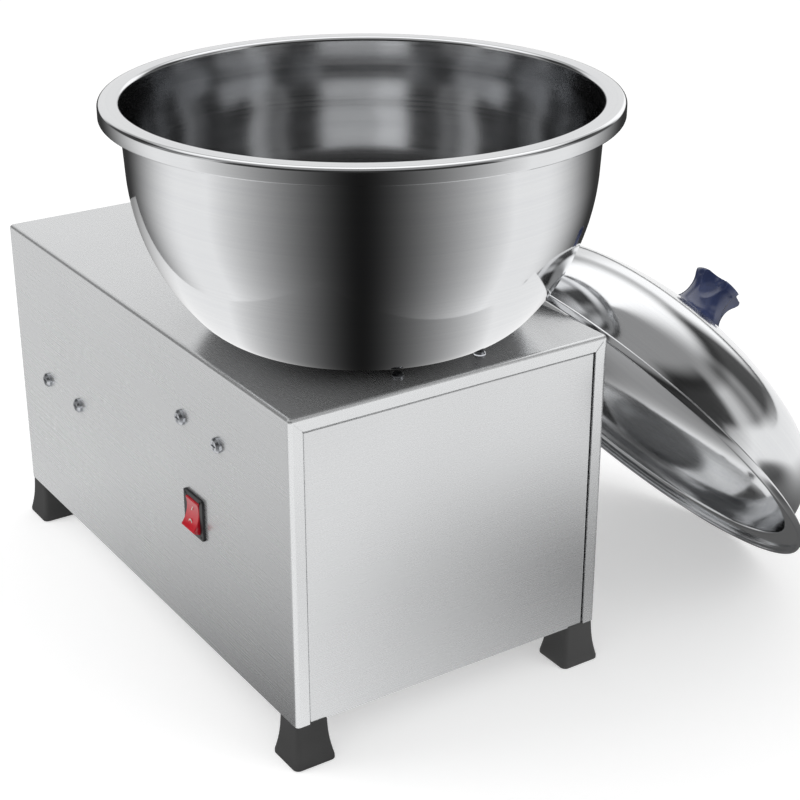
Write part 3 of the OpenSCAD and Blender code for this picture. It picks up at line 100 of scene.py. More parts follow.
def add_node(tree, kind, sockets=None, stops=(), give=0, **settings):
    """Adds a node with its settings, links or fills its sockets, sets the (place, hex) stops of
    a colour ramp, and gives back the output with the number or name in give."""
    made = tree.nodes.new("ShaderNode" + kind)
    for name, value in settings.items():
        setattr(made, name, value)
    for key, value in (sockets or {}).items():
        if isinstance(value, bpy.types.NodeSocket):
            tree.links.new(value, made.inputs[key])
        else:
            made.inputs[key].default_value = value
    for k, (place, code) in enumerate(stops):
        ramp = made.color_ramp.elements
        element = ramp[k] if k < 2 else ramp.new(place)
        element.position = place
        element.color = hex_colour(code)
    return made.outputs[give] if len(made.outputs) else made


WHITE = hex_colour("#ffffff")


def new_tree(owner):
    """The emptied node tree of a material or world."""
    owner.use_nodes = True
    owner.node_tree.nodes.clear()
    return owner.node_tree


print("helpers ready; sRGB #808080 is linear", round(hex_colour("#808080")[0], 3))

# %% [markdown]
# ## Studio
#
# The mixer stands on a white sweep in soft light. Polished metal has hardly any colour of its
# own: it shows its surroundings, so most of this studio is there to be reflected. Directions in it
# are measured towards the camera: 1 is straight towards it, 0 is beside, -1 is away from it.
#
# Near the floor, two broad light walls stand left and right of the camera. It is dark between
# them, where the camera stands, and dim behind the mixer. That gives the bowl its soft upright
# bands.

# %% Light walls
CAMERA_SIDE = (sin(radians(CAMERA_YAW)), -cos(radians(CAMERA_YAW)), 0)


def camera_gap(tree, towards_camera):
    """Dark straight towards the camera, and fully bright from about 70 degrees beside it."""
    return add_node(tree, "MapRange", {
        "Value": towards_camera, "From Min": 1.0, "From Max": 0.3, "To Min": 0.012, "To Max": 1.0})


def light_walls(tree, towards_camera):
    """Brightness of the light walls, with the dark gap in front and a dim stretch behind."""
    behind = add_node(tree, "MapRange", {
        "Value": towards_camera, "From Min": -0.85, "From Max": 0.0, "To Min": 0.04,
        "To Max": 1.0}, interpolation_type="SMOOTHSTEP")
    return add_node(tree, "Math", {0: camera_gap(tree, towards_camera), 1: behind},
                    operation="MULTIPLY")


print("camera side", [round(v, 3) for v in CAMERA_SIDE])

# %% [markdown]
# The world does three jobs. It is white where the camera sees it, it gives matt faces an even pale
# light, and in it glossy rays see the light walls, with a banded sky above them. The sky's bands
# are what the bowl's inside, its rim and the lid show.

# %% World
# Place and grey of each band. 0 is away from the camera and 1 is towards it: these two ends come
# first, because a new colour ramp has them
SKY_BANDS = [(0.0, "#f4f4f4"), (1.0, "#2c2c2c"), (0.10, "#f4f4f4"), (0.17, "#4a4a4a"),
             (0.35, "#424242"), (0.44, "#8c8c8c"), (0.53, "#6c6c6c"), (0.65, "#b8b8b8"),
             (0.71, "#b8b8b8"), (0.77, "#383838")]

world = bpy.data.worlds.new("studio")
bpy.context.scene.world = world
tree = new_tree(world)
facing = add_node(tree, "TexCoord", give="Generated")
level = add_node(tree, "VectorMath", {0: facing, 1: (1, 1, 0)}, operation="MULTIPLY")
level = add_node(tree, "VectorMath", {0: level}, operation="NORMALIZE")
towards = add_node(tree, "VectorMath", {0: level, 1: CAMERA_SIDE}, give="Value",
                   operation="DOT_PRODUCT")
bands = add_node(tree, "ValToRGB", {"Fac": add_node(tree, "MapRange", {
    "Value": towards, "From Min": -1.0, "From Max": 1.0})}, SKY_BANDS)
height = add_node(tree, "SeparateXYZ", {"Vector": facing}, give="Z")
# From about 30 degrees up, which the bowl's inside shows, the bands are half as bright
veil = add_node(tree, "MapRange", {
    "Value": height, "From Min": 0.42, "From Max": 0.52, "To Min": 1.0, "To Max": 0.5})
bands = add_node(tree, "Math", {0: bands, 1: veil}, operation="MULTIPLY")
# Overhead is one large soft light without bands, dimmer on the camera's side
overhead = add_node(tree, "MapRange", {
    "Value": towards, "From Min": 0.4, "From Max": -0.8, "To Min": 0.24, "To Max": 1.0},
    interpolation_type="SMOOTHSTEP")
upwards = add_node(tree, "MapRange", {"Value": height, "From Min": 0.55, "From Max": 0.75},
                   interpolation_type="SMOOTHSTEP")
sky = add_node(tree, "Mix", {"Factor": upwards, "A": bands, "B": overhead}, data_type="FLOAT")
# All but the rear end is somewhat brighter, for the lid's dome
but_rear = add_node(tree, "MapRange", {
    "Value": add_node(tree, "SeparateXYZ", {"Vector": facing}, give="X"),
    "From Min": -0.70, "From Max": -0.60, "To Min": 1.0, "To Max": 1.4})
sky = add_node(tree, "Math", {0: sky, 1: but_rear}, operation="MULTIPLY")
# Just above the horizon the light walls pass into the sky
above = add_node(tree, "MapRange", {"Value": height, "From Min": 0.0, "From Max": 0.1})
shine = add_node(tree, "Mix", {"Factor": above, "A": light_walls(tree, towards), "B": sky},
                 data_type="FLOAT")
glossy = add_node(tree, "LightPath", give="Is Glossy Ray")
seen = add_node(tree, "LightPath", give="Is Camera Ray")
plain = add_node(tree, "Background", {"Color": WHITE, "Strength": 0.72})
walls = add_node(tree, "Background", {"Color": WHITE, "Strength": shine})
white = add_node(tree, "Background", {"Color": WHITE, "Strength": 1.0})
lit = add_node(tree, "MixShader", {0: glossy, 1: plain, 2: walls})
add_node(tree, "OutputWorld", {"Surface": add_node(tree, "MixShader", {
    0: seen, 1: lit, 2: white})})
print("world of", len(tree.nodes), "nodes")

# %% [markdown]
# The floor is a plane at the height of the feet. The camera sees it white, with the mixer's soft
# shadow on it. Polished faces see the light walls in it, as they would in a satin table top: a
# place on it is as bright as the wall that stands behind it, seen from the bowl's axis.

# %% Floor
FLOOR_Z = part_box("foot_front_left")[0].z
FLOOR_SIZE = 12
FLOOR_GLOW = 0.42  # lifts the paper to white for the camera
BOWL_X = 0.110


def place_on_plane(tree):
    """The place in metres on a level plane, without its height."""
    return add_node(tree, "Mapping", {
        "Vector": add_node(tree, "TexCoord", give="Object"), "Scale": (1, 1, 0)})


def towards_on_plane(tree, where):
    """1 where a place on a level plane lies towards the camera, seen from the bowl's axis."""
    outwards = add_node(tree, "VectorMath", {0: add_node(tree, "VectorMath", {
        0: where, 1: (BOWL_X, 0, 0)}, operation="SUBTRACT")}, operation="NORMALIZE")
    return add_node(tree, "VectorMath", {0: outwards, 1: CAMERA_SIDE}, give="Value",
                    operation="DOT_PRODUCT")


bpy.ops.mesh.primitive_plane_add(size=FLOOR_SIZE, location=(0, 0, FLOOR_Z))
floor = bpy.context.object
floor.name = "floor"
bpy.ops.object.transform_apply(location=True)
sweep = bpy.data.materials.new("white_sweep_paper")
tree = new_tree(sweep)
mirrored = add_node(tree, "Emission", {
    "Strength": light_walls(tree, towards_on_plane(tree, place_on_plane(tree)))})
seen = add_node(tree, "LightPath", give="Is Camera Ray")
glow = add_node(tree, "Emission", {"Strength": add_node(tree, "Math", {
    0: seen, 1: FLOOR_GLOW}, operation="MULTIPLY")})
paper = add_node(tree, "BsdfDiffuse", {"Color": hex_colour("#e4e4e4")})
lit = add_node(tree, "AddShader", {0: paper, 1: glow})
add_node(tree, "OutputMaterial", {"Surface": add_node(tree, "MixShader", {
    0: add_node(tree, "LightPath", give="Is Glossy Ray"), 1: lit, 2: mirrored})})
floor.data.materials.append(sweep)
print("floor at", round(FLOOR_Z, 4), "m")

# %% [markdown]
# Two large soft lamps add a little direction to the even light. They are kept out of reflections,
# because the light walls are what polished faces show.

# %% Lamps
LAMP_AIM = Vector((0.05, 0, 0.12))
# Place and size in metres, and power in watts
LAMPS = {
    "key_lamp": ((-0.9, -1.6, 1.9), 1.4, 16.0),
    "fill_lamp": ((1.7, 0.9, 1.5), 1.2, 7.0),
}
for name, (lamp_place, size, power) in LAMPS.items():
    aim = LAMP_AIM - Vector(lamp_place)
    bpy.ops.object.light_add(type="AREA", location=lamp_place,
                             rotation=aim.to_track_quat("-Z", "Y").to_euler())
    lamp = bpy.context.object
    lamp.name = name
    lamp.data.size = size
    lamp.data.energy = power
    lamp.visible_glossy = False
    print(name, power, "W")

# %% [markdown]
# ## Finishes
#
# Each finish starts from the real surface and how it was made. All patterns use Object
# coordinates, which are metres in the part's own frame, so a scale of 1000 is one grain a
# millimetre. Nearly all values of a noise texture lie between 0.3 and 0.7, so colours and
# roughness are spread over that span.

# %% Span of a noise texture
NOISE_ENDS = (0.3, 0.7)
NOISE_SPAN = {"From Min": NOISE_ENDS[0], "From Max": NOISE_ENDS[1]}
print("noise between", NOISE_ENDS)

# %% [markdown]
# ### Satin stainless sheet
#
# The box, its end panels and the base plate are stainless sheet with the fine satin grain of a
# grinding belt. The eye sees a soft reflection, drawn out a little across the grain, and faint
# streaks. Real grain is 0.2 mm apart, too fine to show, so it is drawn about 1 mm apart.

# %% Satin sheet
def satin_sheet(name, grain, tones):
    """Belt-ground sheet. grain is the number of streaks per metre along X, Y and Z."""
    made = bpy.data.materials.new(name)
    tree = new_tree(made)
    where = add_node(tree, "TexCoord", give="Object")
    across = add_node(tree, "Mapping", {"Vector": where, "Scale": grain})
    streaks = add_node(tree, "TexNoise", {"Vector": across, "Scale": 1.0, "Detail": 3.0,
                                          "Roughness": 0.6})
    clouds = add_node(tree, "TexNoise", {"Vector": where, "Scale": 9.0, "Detail": 2.0})
    smudges = add_node(tree, "TexNoise", {"Vector": where, "Scale": 26.0, "Detail": 4.0,
                                          "Roughness": 0.6})
    tone = add_node(tree, "Mix", {"Factor": 0.3, "A": clouds, "B": streaks}, data_type="FLOAT")
    colour = add_node(tree, "ValToRGB", {"Fac": tone}, zip(NOISE_ENDS, tones))
    worn = add_node(tree, "Mix", {"Factor": 0.35, "A": streaks, "B": smudges},
                    data_type="FLOAT")
    rough = add_node(tree, "MapRange", {
        "Value": worn, **NOISE_SPAN, "To Min": 0.265, "To Max": 0.28})
    bump = add_node(tree, "Bump", {"Height": streaks, "Strength": 0.04, "Distance": 0.002 * MM})
    add_node(tree, "OutputMaterial", {"Surface": add_node(tree, "BsdfPrincipled", {
        "Base Color": colour, "Metallic": 0.75, "Roughness": rough, "Normal": bump})})
    return made


satin_long = satin_sheet("satin_stainless_long_grain", (6, 900, 900), ("#dddedf", "#e1e2e3"))
# End panels: the grain runs across them, and their darker tones are painted shade
satin_cross_painted_shade = satin_sheet("satin_stainless_cross_grain_painted_shade", (900, 6, 900), ("#d4d5d6", "#d8d9da"))
print("satin stainless:", satin_long.name, satin_cross_painted_shade.name)

# %% [markdown]
# ### Mirror-polished stainless
#
# Bowl, lid and agitator are buffed to a mirror. On the spun bowl and lid the buffing leaves
# hair-fine rings round the axis, which show as a roughness that changes a little in bands, and
# the spinning leaves long shallow waves that make the reflections swim.

# %% Mirror polish
def mirror_polish(name, axis_place, axis_tilt=0.0, rough=(0.06, 0.085),
                  tones=("#dcdddf", "#e1e2e3")):
    """Spun and buffed sheet, with polishing rings round an axis of the given place and tilt."""
    made = bpy.data.materials.new(name)
    tree = new_tree(made)
    where = add_node(tree, "Mapping", {
        "Vector": add_node(tree, "TexCoord", give="Object"), "Location": axis_place,
        "Rotation": (axis_tilt, 0, 0)}, vector_type="TEXTURE")
    level = add_node(tree, "VectorMath", {0: where, 1: (1, 1, 0)}, operation="MULTIPLY")
    radius = add_node(tree, "VectorMath", {0: level}, give="Value", operation="LENGTH")
    rings_at = add_node(tree, "CombineXYZ", {
        "X": radius, "Z": add_node(tree, "SeparateXYZ", {"Vector": where}, give="Z")})
    rings = add_node(tree, "TexNoise", {"Vector": rings_at, "Scale": 420.0, "Detail": 3.0,
                                        "Roughness": 0.6})
    waves = add_node(tree, "TexNoise", {"Vector": where, "Scale": 13.0, "Detail": 1.0})
    bump = add_node(tree, "Bump", {"Height": waves, "Strength": 0.15, "Distance": 0.3 * MM})
    colour = add_node(tree, "ValToRGB", {"Fac": rings}, zip(NOISE_ENDS, tones))
    add_node(tree, "OutputMaterial", {"Surface": add_node(tree, "BsdfPrincipled", {
        "Base Color": colour, "Metallic": 1.0, "Normal": bump,
        "Roughness": add_node(tree, "MapRange", {
            "Value": rings, **NOISE_SPAN, "To Min": rough[0], "To Max": rough[1]})})})
    return made


LID_PLACE = (0.115, 0.22933, 0.10285)
LID_TILT = radians(-49.991)
# Bowl outside: the best mirror of the machine
bowl_polish = mirror_polish("mirror_stainless_bowl", (BOWL_X, 0, 0))
# Bowl inside: buffed less, so rougher, and darker in tone as painted shade inside the bowl
bowl_inside_painted_shade = mirror_polish("dulled_stainless_bowl_inside", (BOWL_X, 0, 0), 0.0, (0.10, 0.15),
                            ("#c6c7c9", "#cdcecf"))
# Lid: thinner sheet, buffed in one pass, so its mirror is softer
lid_polish = mirror_polish("mirror_stainless_lid", LID_PLACE, LID_TILT, (0.10, 0.13))
# Agitator: polished by hand, with the widest spread of gloss
hand_polish = mirror_polish("hand_polished_stainless", (BOWL_X, 0, 0), 0.0, (0.10, 0.18))
print("mirror stainless:", bowl_polish.name, bowl_inside_painted_shade.name, lid_polish.name, hand_polish.name)

# %% [markdown]
# ### Cast, turned and plated metals
#
# The drive's metals differ in colour, in roughness and in the size of their grain: sand-cast
# aluminium is pebbled like its mould, turned steel has fine tool rings, zinc plate is bright and
# slightly cloudy. One function takes the two tones of a metal, its roughness, and the size and
# depth of its grain. grain is per axis, so tool marks can be drawn out along one direction.

# %% Workshop metals
def workshop_metal(name, tones, rough, grain_mm, depth_mm, coat=0.0):
    """A metal with a grain of the given size in millimetres along X, Y and Z."""
    made = bpy.data.materials.new(name)
    tree = new_tree(made)
    where = add_node(tree, "TexCoord", give="Object")
    scaled = add_node(tree, "Mapping", {"Vector": where, "Scale": [1000 / g for g in grain_mm]})
    grain = add_node(tree, "TexNoise", {"Vector": scaled, "Scale": 1.0, "Detail": 3.0})
    clouds = add_node(tree, "TexNoise", {"Vector": where, "Scale": 40.0, "Detail": 3.0})
    tone = add_node(tree, "Mix", {"Factor": 0.5, "A": clouds, "B": grain}, data_type="FLOAT")
    colour = add_node(tree, "ValToRGB", {"Fac": tone}, zip(NOISE_ENDS, tones))
    bump = add_node(tree, "Bump", {"Height": grain, "Strength": 0.5, "Distance": depth_mm * MM})
    add_node(tree, "OutputMaterial", {"Surface": add_node(tree, "BsdfPrincipled", {
        "Base Color": colour, "Metallic": 1.0, "Normal": bump, "Coat Weight": coat,
        "Roughness": add_node(tree, "MapRange", {
            "Value": tone, **NOISE_SPAN, "To Min": rough[0], "To Max": rough[1]})})})
    return made


# Turned and ground shafts: rings 0.6 mm apart along the shaft, real ones are 0.1 mm
turned_steel = workshop_metal("turned_steel", ("#9a9c9f", "#c2c4c7"), (0.20, 0.34),
                              (0.6, 6, 6), 0.02)
# Bright zinc plate on pressed and headed parts: bluish, a little cloudy, smooth
bright_zinc = workshop_metal("bright_zinc_plate", ("#b9bcc2", "#d8dade"), (0.16, 0.30),
                             (3, 3, 3), 0.01)
# Sand-cast aluminium: a pebbled skin with grains of about 1.2 mm
cast_aluminium = workshop_metal("sand_cast_aluminium", ("#97999c", "#b6b8bb"), (0.38, 0.55),
                                (1.2, 1.2, 1.2), 0.15)
# Stacked electrical sheets: 0.5 mm sheets drawn 1 mm apart along the motor
laminated_steel = workshop_metal("laminated_electrical_steel", ("#55575b", "#85888d"),
                                 (0.35, 0.5), (1, 40, 40), 0.1)
# Gear bronze: cut teeth with a brownish skin
gear_bronze = workshop_metal("cut_gear_bronze", ("#8f6a35", "#c09a58"), (0.24, 0.4),
                             (2, 2, 0.8), 0.04)
# Enamelled copper wire, laid round the stator in 1 mm turns, with a clear varnish over it
varnished_copper = workshop_metal("varnished_copper_wire", ("#7c3c1e", "#c4703c"), (0.25, 0.4),
                                  (9, 1, 1), 0.3, 0.5)
print("workshop metals, from", turned_steel.name, "to", varnished_copper.name)

# %% [markdown]
# ### Moulded rubber and plastics
#
# Moulded parts take the skin of their mould. Rubber feet are matt with a fine texture, the switch
# bezel is spark-eroded black nylon, and the rocker and the lid's knob are glossy, with the soft
# waves that show where a thick moulding shrank. Their colour varies only slightly.

# %% Moulded finishes
def moulded(name, tones, rough, grain_mm, depth_mm, coat=0.0):
    """A moulded plastic or rubber with a skin grain of the given size and depth."""
    made = bpy.data.materials.new(name)
    tree = new_tree(made)
    where = add_node(tree, "TexCoord", give="Object")
    grain = add_node(tree, "TexNoise", {"Vector": where, "Scale": 1000 / grain_mm,
                                        "Detail": 2.0})
    clouds = add_node(tree, "TexNoise", {"Vector": where, "Scale": 60.0, "Detail": 3.0})
    tone = add_node(tree, "Mix", {"Factor": 0.4, "A": clouds, "B": grain}, data_type="FLOAT")
    colour = add_node(tree, "ValToRGB", {"Fac": tone}, zip(NOISE_ENDS, tones))
    bump = add_node(tree, "Bump", {"Height": grain, "Strength": 0.4, "Distance": depth_mm * MM})
    add_node(tree, "OutputMaterial", {"Surface": add_node(tree, "BsdfPrincipled", {
        "Base Color": colour, "Normal": bump, "Coat Weight": coat, "Coat Roughness": 0.06,
        "IOR": 1.5,
        "Roughness": add_node(tree, "MapRange", {
            "Value": tone, **NOISE_SPAN, "To Min": rough[0], "To Max": rough[1]})})})
    return made


# Black rubber of feet, gaskets and seals: dull, a little dusty, skin grain 0.8 mm
moulded_rubber = moulded("moulded_black_rubber", ("#414141", "#4b4b4b"), (0.6, 0.8), 0.8, 0.05)
# Black nylon: spark-eroded skin, drawn 0.7 mm apart
moulded_nylon = moulded("moulded_black_nylon", ("#101012", "#1b1b1e"), (0.35, 0.5), 0.7, 0.03)
# Red rocker: glossy polycarbonate, coloured through
red_gloss = moulded("glossy_red_polycarbonate", ("#b40f22", "#cb1528"), (0.18, 0.28), 6, 0.02,
                    0.4)
# Blue knob: pressed phenolic, buffed, with long shrink waves
blue_phenolic = moulded("buffed_blue_phenolic", ("#2d3658", "#38436a"), (0.16, 0.26), 9, 0.05,
                        0.5)
# White terminal block: polyamide with a dull skin
white_polyamide = moulded("moulded_white_polyamide", ("#d9d6cc", "#e6e4dc"), (0.4, 0.55), 0.8,
                          0.03)
print("moulded finishes, from", moulded_rubber.name, "to", white_polyamide.name)

# %% [markdown]
# ## Finishes on the CAD pieces
#
# Every CAD node gets a finish here, by the record's material slot. The two end panels were cut with
# the grain across, so they get the cross-grain sheet, whose darker tones are painted shade.

# %% Finish every CAD node
FINISHES = {
    "stainless_sheet": satin_long,
    "polished_steel": hand_polish,
    "machined_steel": turned_steel,
    "zinc_steel": bright_zinc,
    "cast_aluminium": cast_aluminium,
    "electrical_steel": laminated_steel,
    "bronze": gear_bronze,
    "copper_winding": varnished_copper,
    "black_rubber": moulded_rubber,
    "black_plastic": moulded_nylon,
    "red_plastic": red_gloss,
    "blue_plastic": blue_phenolic,
    "white_plastic": white_polyamide,
}
OWN_FINISH = {"front_panel": satin_cross_painted_shade, "rear_panel": satin_cross_painted_shade, "bowl": bowl_polish,
              "lid": lid_polish}
for part in frame["record"]["subparts"]:
    node = cad[part["node"]]
    for slot in node.material_slots:
        slot.material = OWN_FINISH.get(part["node"], FINISHES[part["material_slot"]])

# %% [markdown]
# ## Helpers for shapes
#
# Each new piece starts as a primitive and is shaped in edit mode, as by hand. The CAD nodes are
# selected after loading, so everything is deselected before a piece is begun. At the end of each
# piece its place is applied to the mesh, so that its object sits at the origin as a CAD node does.

# %% Begin, select and close a piece
def begin(name, primitive, **settings):
    """Adds a primitive as a new piece, alone selected."""
    bpy.ops.object.select_all(action="DESELECT")
    primitive(**settings)
    piece = bpy.context.object
    piece.name = name
    return piece


def pick(piece, kind, wanted):
    """In edit mode, selects the wanted faces, by their middle in mm and their normal, or the
    wanted edges, by their middle and the direction along them."""
    bpy.ops.mesh.select_mode(type=kind)
    bpy.ops.mesh.select_all(action="DESELECT")
    bpy.ops.object.mode_set(mode="OBJECT")
    mesh = piece.data
    place = [vertex.co / MM for vertex in mesh.vertices]
    for part in (mesh.edges if kind == "EDGE" else mesh.polygons):
        corners = [place[k] for k in part.vertices]
        middle = sum(corners, Vector()) / len(corners)
        normal = (corners[1] - corners[0]).normalized() if kind == "EDGE" else part.normal
        part.select = bool(wanted(middle, normal))
    bpy.ops.object.mode_set(mode="EDIT")


def modify(piece, kind, **settings):
    """Adds a modifier and applies it."""
    bpy.context.view_layer.objects.active = piece
    made = piece.modifiers.new(kind.lower(), kind)
    for name, value in settings.items():
        setattr(made, name, value)
    bpy.ops.object.modifier_apply(modifier=made.name)


def close_piece(piece, body, finish, replaced=(), place=None, smooth=35):
    """Places the piece for good, gives it its finish and parents it to the empty of its body."""
    bpy.ops.object.select_all(action="DESELECT")
    piece.select_set(True)
    bpy.context.view_layer.objects.active = piece
    if place:
        piece.matrix_world = place @ piece.matrix_world
    bpy.ops.object.transform_apply(location=True, rotation=True, scale=True)
    bpy.ops.object.mode_set(mode="EDIT")
    bpy.ops.mesh.select_all(action="SELECT")
    bpy.ops.mesh.normals_make_consistent(inside=False)
    bpy.ops.object.mode_set(mode="OBJECT")
    bpy.ops.object.shade_smooth_by_angle(angle=radians(smooth))
    piece.data.materials.clear()
    piece.data.materials.append(finish)
    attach(piece, body)
    if replaced:
        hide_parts(*replaced)
    print(piece.name, len(piece.data.polygons), "faces")
    return piece


# %% [markdown]
# Bowl and lid are spun on a lathe, so their section is drawn once, as a closed line of points
# beside the axis, and turned round it. One vertex is extruded from point to point to draw the
# section, and the spin operator turns it, as the lathe does. The rocker's side view is drawn in
# the same way.

# %% Draw and turn a section
def arc(centre, radius, from_deg, to_deg, points):
    """Points in mm along an arc. 0 degrees is away from the axis, 90 is up."""
    turns = [radians(from_deg + (to_deg - from_deg) * k / (points - 1)) for k in range(points)]
    return [(centre[0] + radius * cos(a), centre[1] + radius * sin(a)) for a in turns]


WELD = 0.001 * MM


def draw(name, points):
    """Begins a piece as a closed line through points in metres, and leaves it in edit mode."""
    piece = begin(name, bpy.ops.mesh.primitive_plane_add, size=MM)
    bpy.ops.object.mode_set(mode="EDIT")
    bpy.ops.mesh.select_mode(type="VERT")
    bpy.ops.mesh.merge(type="CENTER")
    bpy.ops.transform.translate(value=points[0])
    for here, there in zip(points, points[1:] + points[:1]):
        bpy.ops.mesh.extrude_region_move(TRANSFORM_OT_translate={"value": there - here})
    bpy.ops.mesh.select_all(action="SELECT")
    bpy.ops.mesh.remove_doubles(threshold=WELD)
    return piece


def turned(name, section, steps):
    """Spins a closed section of (radius, height) points in mm round the Z axis."""
    piece = draw(name, [Vector((r, 0, z)) * MM for r, z in section])
    bpy.ops.mesh.spin(steps=steps, angle=2 * pi, center=(0, 0, 0), axis=(0, 0, 1))
    bpy.ops.mesh.select_all(action="SELECT")
    bpy.ops.mesh.remove_doubles(threshold=WELD)
    bpy.ops.object.mode_set(mode="OBJECT")
    return piece


# %% [markdown]
# ## Front panel
#
# The front panel is a tray of 1.5 mm sheet, its edges folded back on a press brake with a sharp
# bend. It sits in the frame of the box's flanges with a gap of a hair's breadth, which the eye
# reads as a thin dark line. It starts as a cube of the CAD panel's size. The back is inset and
# pushed in to leave the sheet's thickness, and the outer edges get the small radius of the bend.
# The face alone reaches down past the base plate, and two holes clear the front feet's screws.

# %% Front panel
SHEET = 1.5
BEND = 1.2
PANEL_FOOT = 2.15
SCREW_HOLES = ((212.0, -56.6), (212.0, 56.6))
SCREW_HOLE_RADIUS = 2.05
NEAR = 0.01  # mm, near enough to a face to be on it
PANEL_LOW, PANEL_HIGH = (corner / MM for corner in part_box("front_panel"))
wide = PANEL_HIGH - PANEL_LOW
middle = (PANEL_LOW + PANEL_HIGH) / 2

panel = begin("front_panel_sheet", bpy.ops.mesh.primitive_cube_add, size=MM,
              location=(middle.x * MM, middle.y * MM, (middle.z + PANEL_FOOT / 2) * MM))
bpy.ops.transform.resize(value=(wide.x, wide.y, wide.z - PANEL_FOOT))
bpy.ops.object.transform_apply(location=True, scale=True)
bpy.ops.object.mode_set(mode="EDIT")
pick(panel, "FACE", lambda middle, normal: normal.x < -0.9)
bpy.ops.mesh.inset(thickness=SHEET * MM)
bpy.ops.mesh.extrude_region_move(TRANSFORM_OT_translate={"value": ((wide.x - SHEET) * MM, 0, 0)})
bpy.ops.mesh.select_all(action="SELECT")
bpy.ops.mesh.bisect(plane_co=((PANEL_HIGH.x - SHEET) * MM, 0, 0), plane_no=(1, 0, 0))
pick(panel, "FACE", lambda middle, normal: normal.z < -0.9
     and middle.x > PANEL_HIGH.x - SHEET and middle.z < PANEL_LOW.z + 3)
bpy.ops.mesh.extrude_region_move(TRANSFORM_OT_translate={"value": (0, 0, -PANEL_FOOT * MM)})
bpy.ops.object.mode_set(mode="OBJECT")
for hole_x, hole_y in SCREW_HOLES:
    hole = begin("screw_hole", bpy.ops.mesh.primitive_cylinder_add, vertices=32,
                 radius=SCREW_HOLE_RADIUS * MM, depth=8 * MM,
                 location=(hole_x * MM, hole_y * MM, (PANEL_LOW.z + PANEL_FOOT) * MM))
    modify(panel, "BOOLEAN", operation="DIFFERENCE", object=hole, solver="EXACT")
    bpy.data.objects.remove(hole)
bpy.context.view_layer.objects.active = panel
bpy.ops.object.mode_set(mode="EDIT")
pick(panel, "EDGE", lambda middle, along: (
    (abs(along.z) > 0.9 or abs(along.y) > 0.9) and middle.x > PANEL_HIGH.x - NEAR
    and middle.z > PANEL_LOW.z + 1)
    or (abs(along.x) > 0.9 and middle.z > PANEL_HIGH.z - NEAR))
bpy.ops.mesh.bevel(offset=BEND * MM, segments=4)
bpy.ops.object.mode_set(mode="OBJECT")
# The panel takes the cross-grain sheet, with its darker tones as painted shade
front_panel = close_piece(panel, "machine", satin_cross_painted_shade, ["front_panel"])

# %% [markdown]
# ## Bowl
#
# The bowl is 1.2 mm stainless, spun over a form: a flat bottom, a tight foot curve, a round belly
# and an almost upright wall. The rim turns outwards, lies flat, and turns down to a lip whose
# edge is rolled in on itself. The section has all of these, inside and outside, so the rim shows
# its fold lines and the lip its real thickness. Each centre is (radius, height) in mm from the
# middle of the bottom.

# %% Bowl
BOWL_BOTTOM = 225.0
BOWL_HOLE = 18.0
BOWL_SHEET = 1.2
WALL_SLOPE = 3.0
FOOT_TURN = 41.81
BELLY, BELLY_RADIUS = (0.902, 118.0), 154
FOOT_CURVE, FOOT_RADIUS = (81.4, 46.0), 46
RIM_FOLD = (158.8, 154.0)
LIP_FOLD = (167.0, 154.0)
FOLD_INNER, FOLD_OUTER = 1.8, 3.0
BEAD, BEAD_RADIUS = (168.45, 147.5), 1.55
DULL_BELOW = 379.5
LATHE_STEPS = 192


def bowl_skin(inwards, count):
    """The bowl's face from its hole to the top of the wall, moved inwards by a thickness."""
    face = [(BOWL_HOLE, inwards), (50.0, inwards)]
    face += arc(FOOT_CURVE, FOOT_RADIUS - inwards, -90, -FOOT_TURN, count // 3)
    face += arc(BELLY, BELLY_RADIUS - inwards, -FOOT_TURN, -WALL_SLOPE, count)[1:]
    return face


bowl_section = bowl_skin(0, 36)
bowl_section += arc(RIM_FOLD, FOLD_INNER, 180, 90, 5)
bowl_section += arc(LIP_FOLD, FOLD_INNER, 90, 0, 6)
bowl_section += [(168.8, 149.0)]
bowl_section += arc(BEAD, BEAD_RADIUS, 120, 350, 12)
bowl_section += arc(LIP_FOLD, FOLD_OUTER, 0, 90, 9)
bowl_section += arc(RIM_FOLD, FOLD_OUTER, 90, 177, 9)
bowl_section += bowl_skin(BOWL_SHEET, 36)[::-1]
bowl = turned("bowl_shell", bowl_section, LATHE_STEPS)
close_piece(bowl, "machine", bowl_polish, ["bowl"],
            Matrix.Translation((BOWL_X, 0, BOWL_BOTTOM * MM)), 40)

# The inside wall and bottom take the rougher finish, whose darker tones paint the shade inside the
# bowl
bpy.ops.object.mode_set(mode="EDIT")
pick(bowl, "FACE", lambda middle, normal: middle.z < DULL_BELOW and (
    (middle.x - BOWL_X / MM) * normal.x + middle.y * normal.y < -0.01
    or (normal.z > 0.9 and middle.z < BOWL_BOTTOM + 5)))
bowl.data.materials.append(bowl_inside_painted_shade)
bowl.active_material_index = 1
bpy.ops.object.material_slot_assign()
bpy.ops.object.mode_set(mode="OBJECT")
print("dulled faces inside the bowl:", sum(face.material_index for face in bowl.data.polygons))

# %% [markdown]
# ## Lid
#
# The lid is spun too: a shallow crown, a rounder shoulder, a short neck that drops into the bowl,
# and a flat flange whose edge is turned down. It is drawn flange down in its own frame, then
# leaned against the box's far edge with the frame of the CAD lid.

# %% Lid
LID_FRAME = Matrix.Translation(LID_PLACE) @ Matrix.Rotation(LID_TILT, 4, "X")
LID_SHEET = 1.0
LID_HOLE = 2.6
CROWN, CROWN_RADIUS, CROWN_TURN = (0.0, -207.625), 295.625, 23.78
SHOULDER, SHOULDER_RADIUS = (95.0, 8.0), 60
NECK_FOLD = (157.0, 3.0)
EDGE_FOLD = (170.9, -0.6)
EDGE_BEAD = (171.35, -3.8)


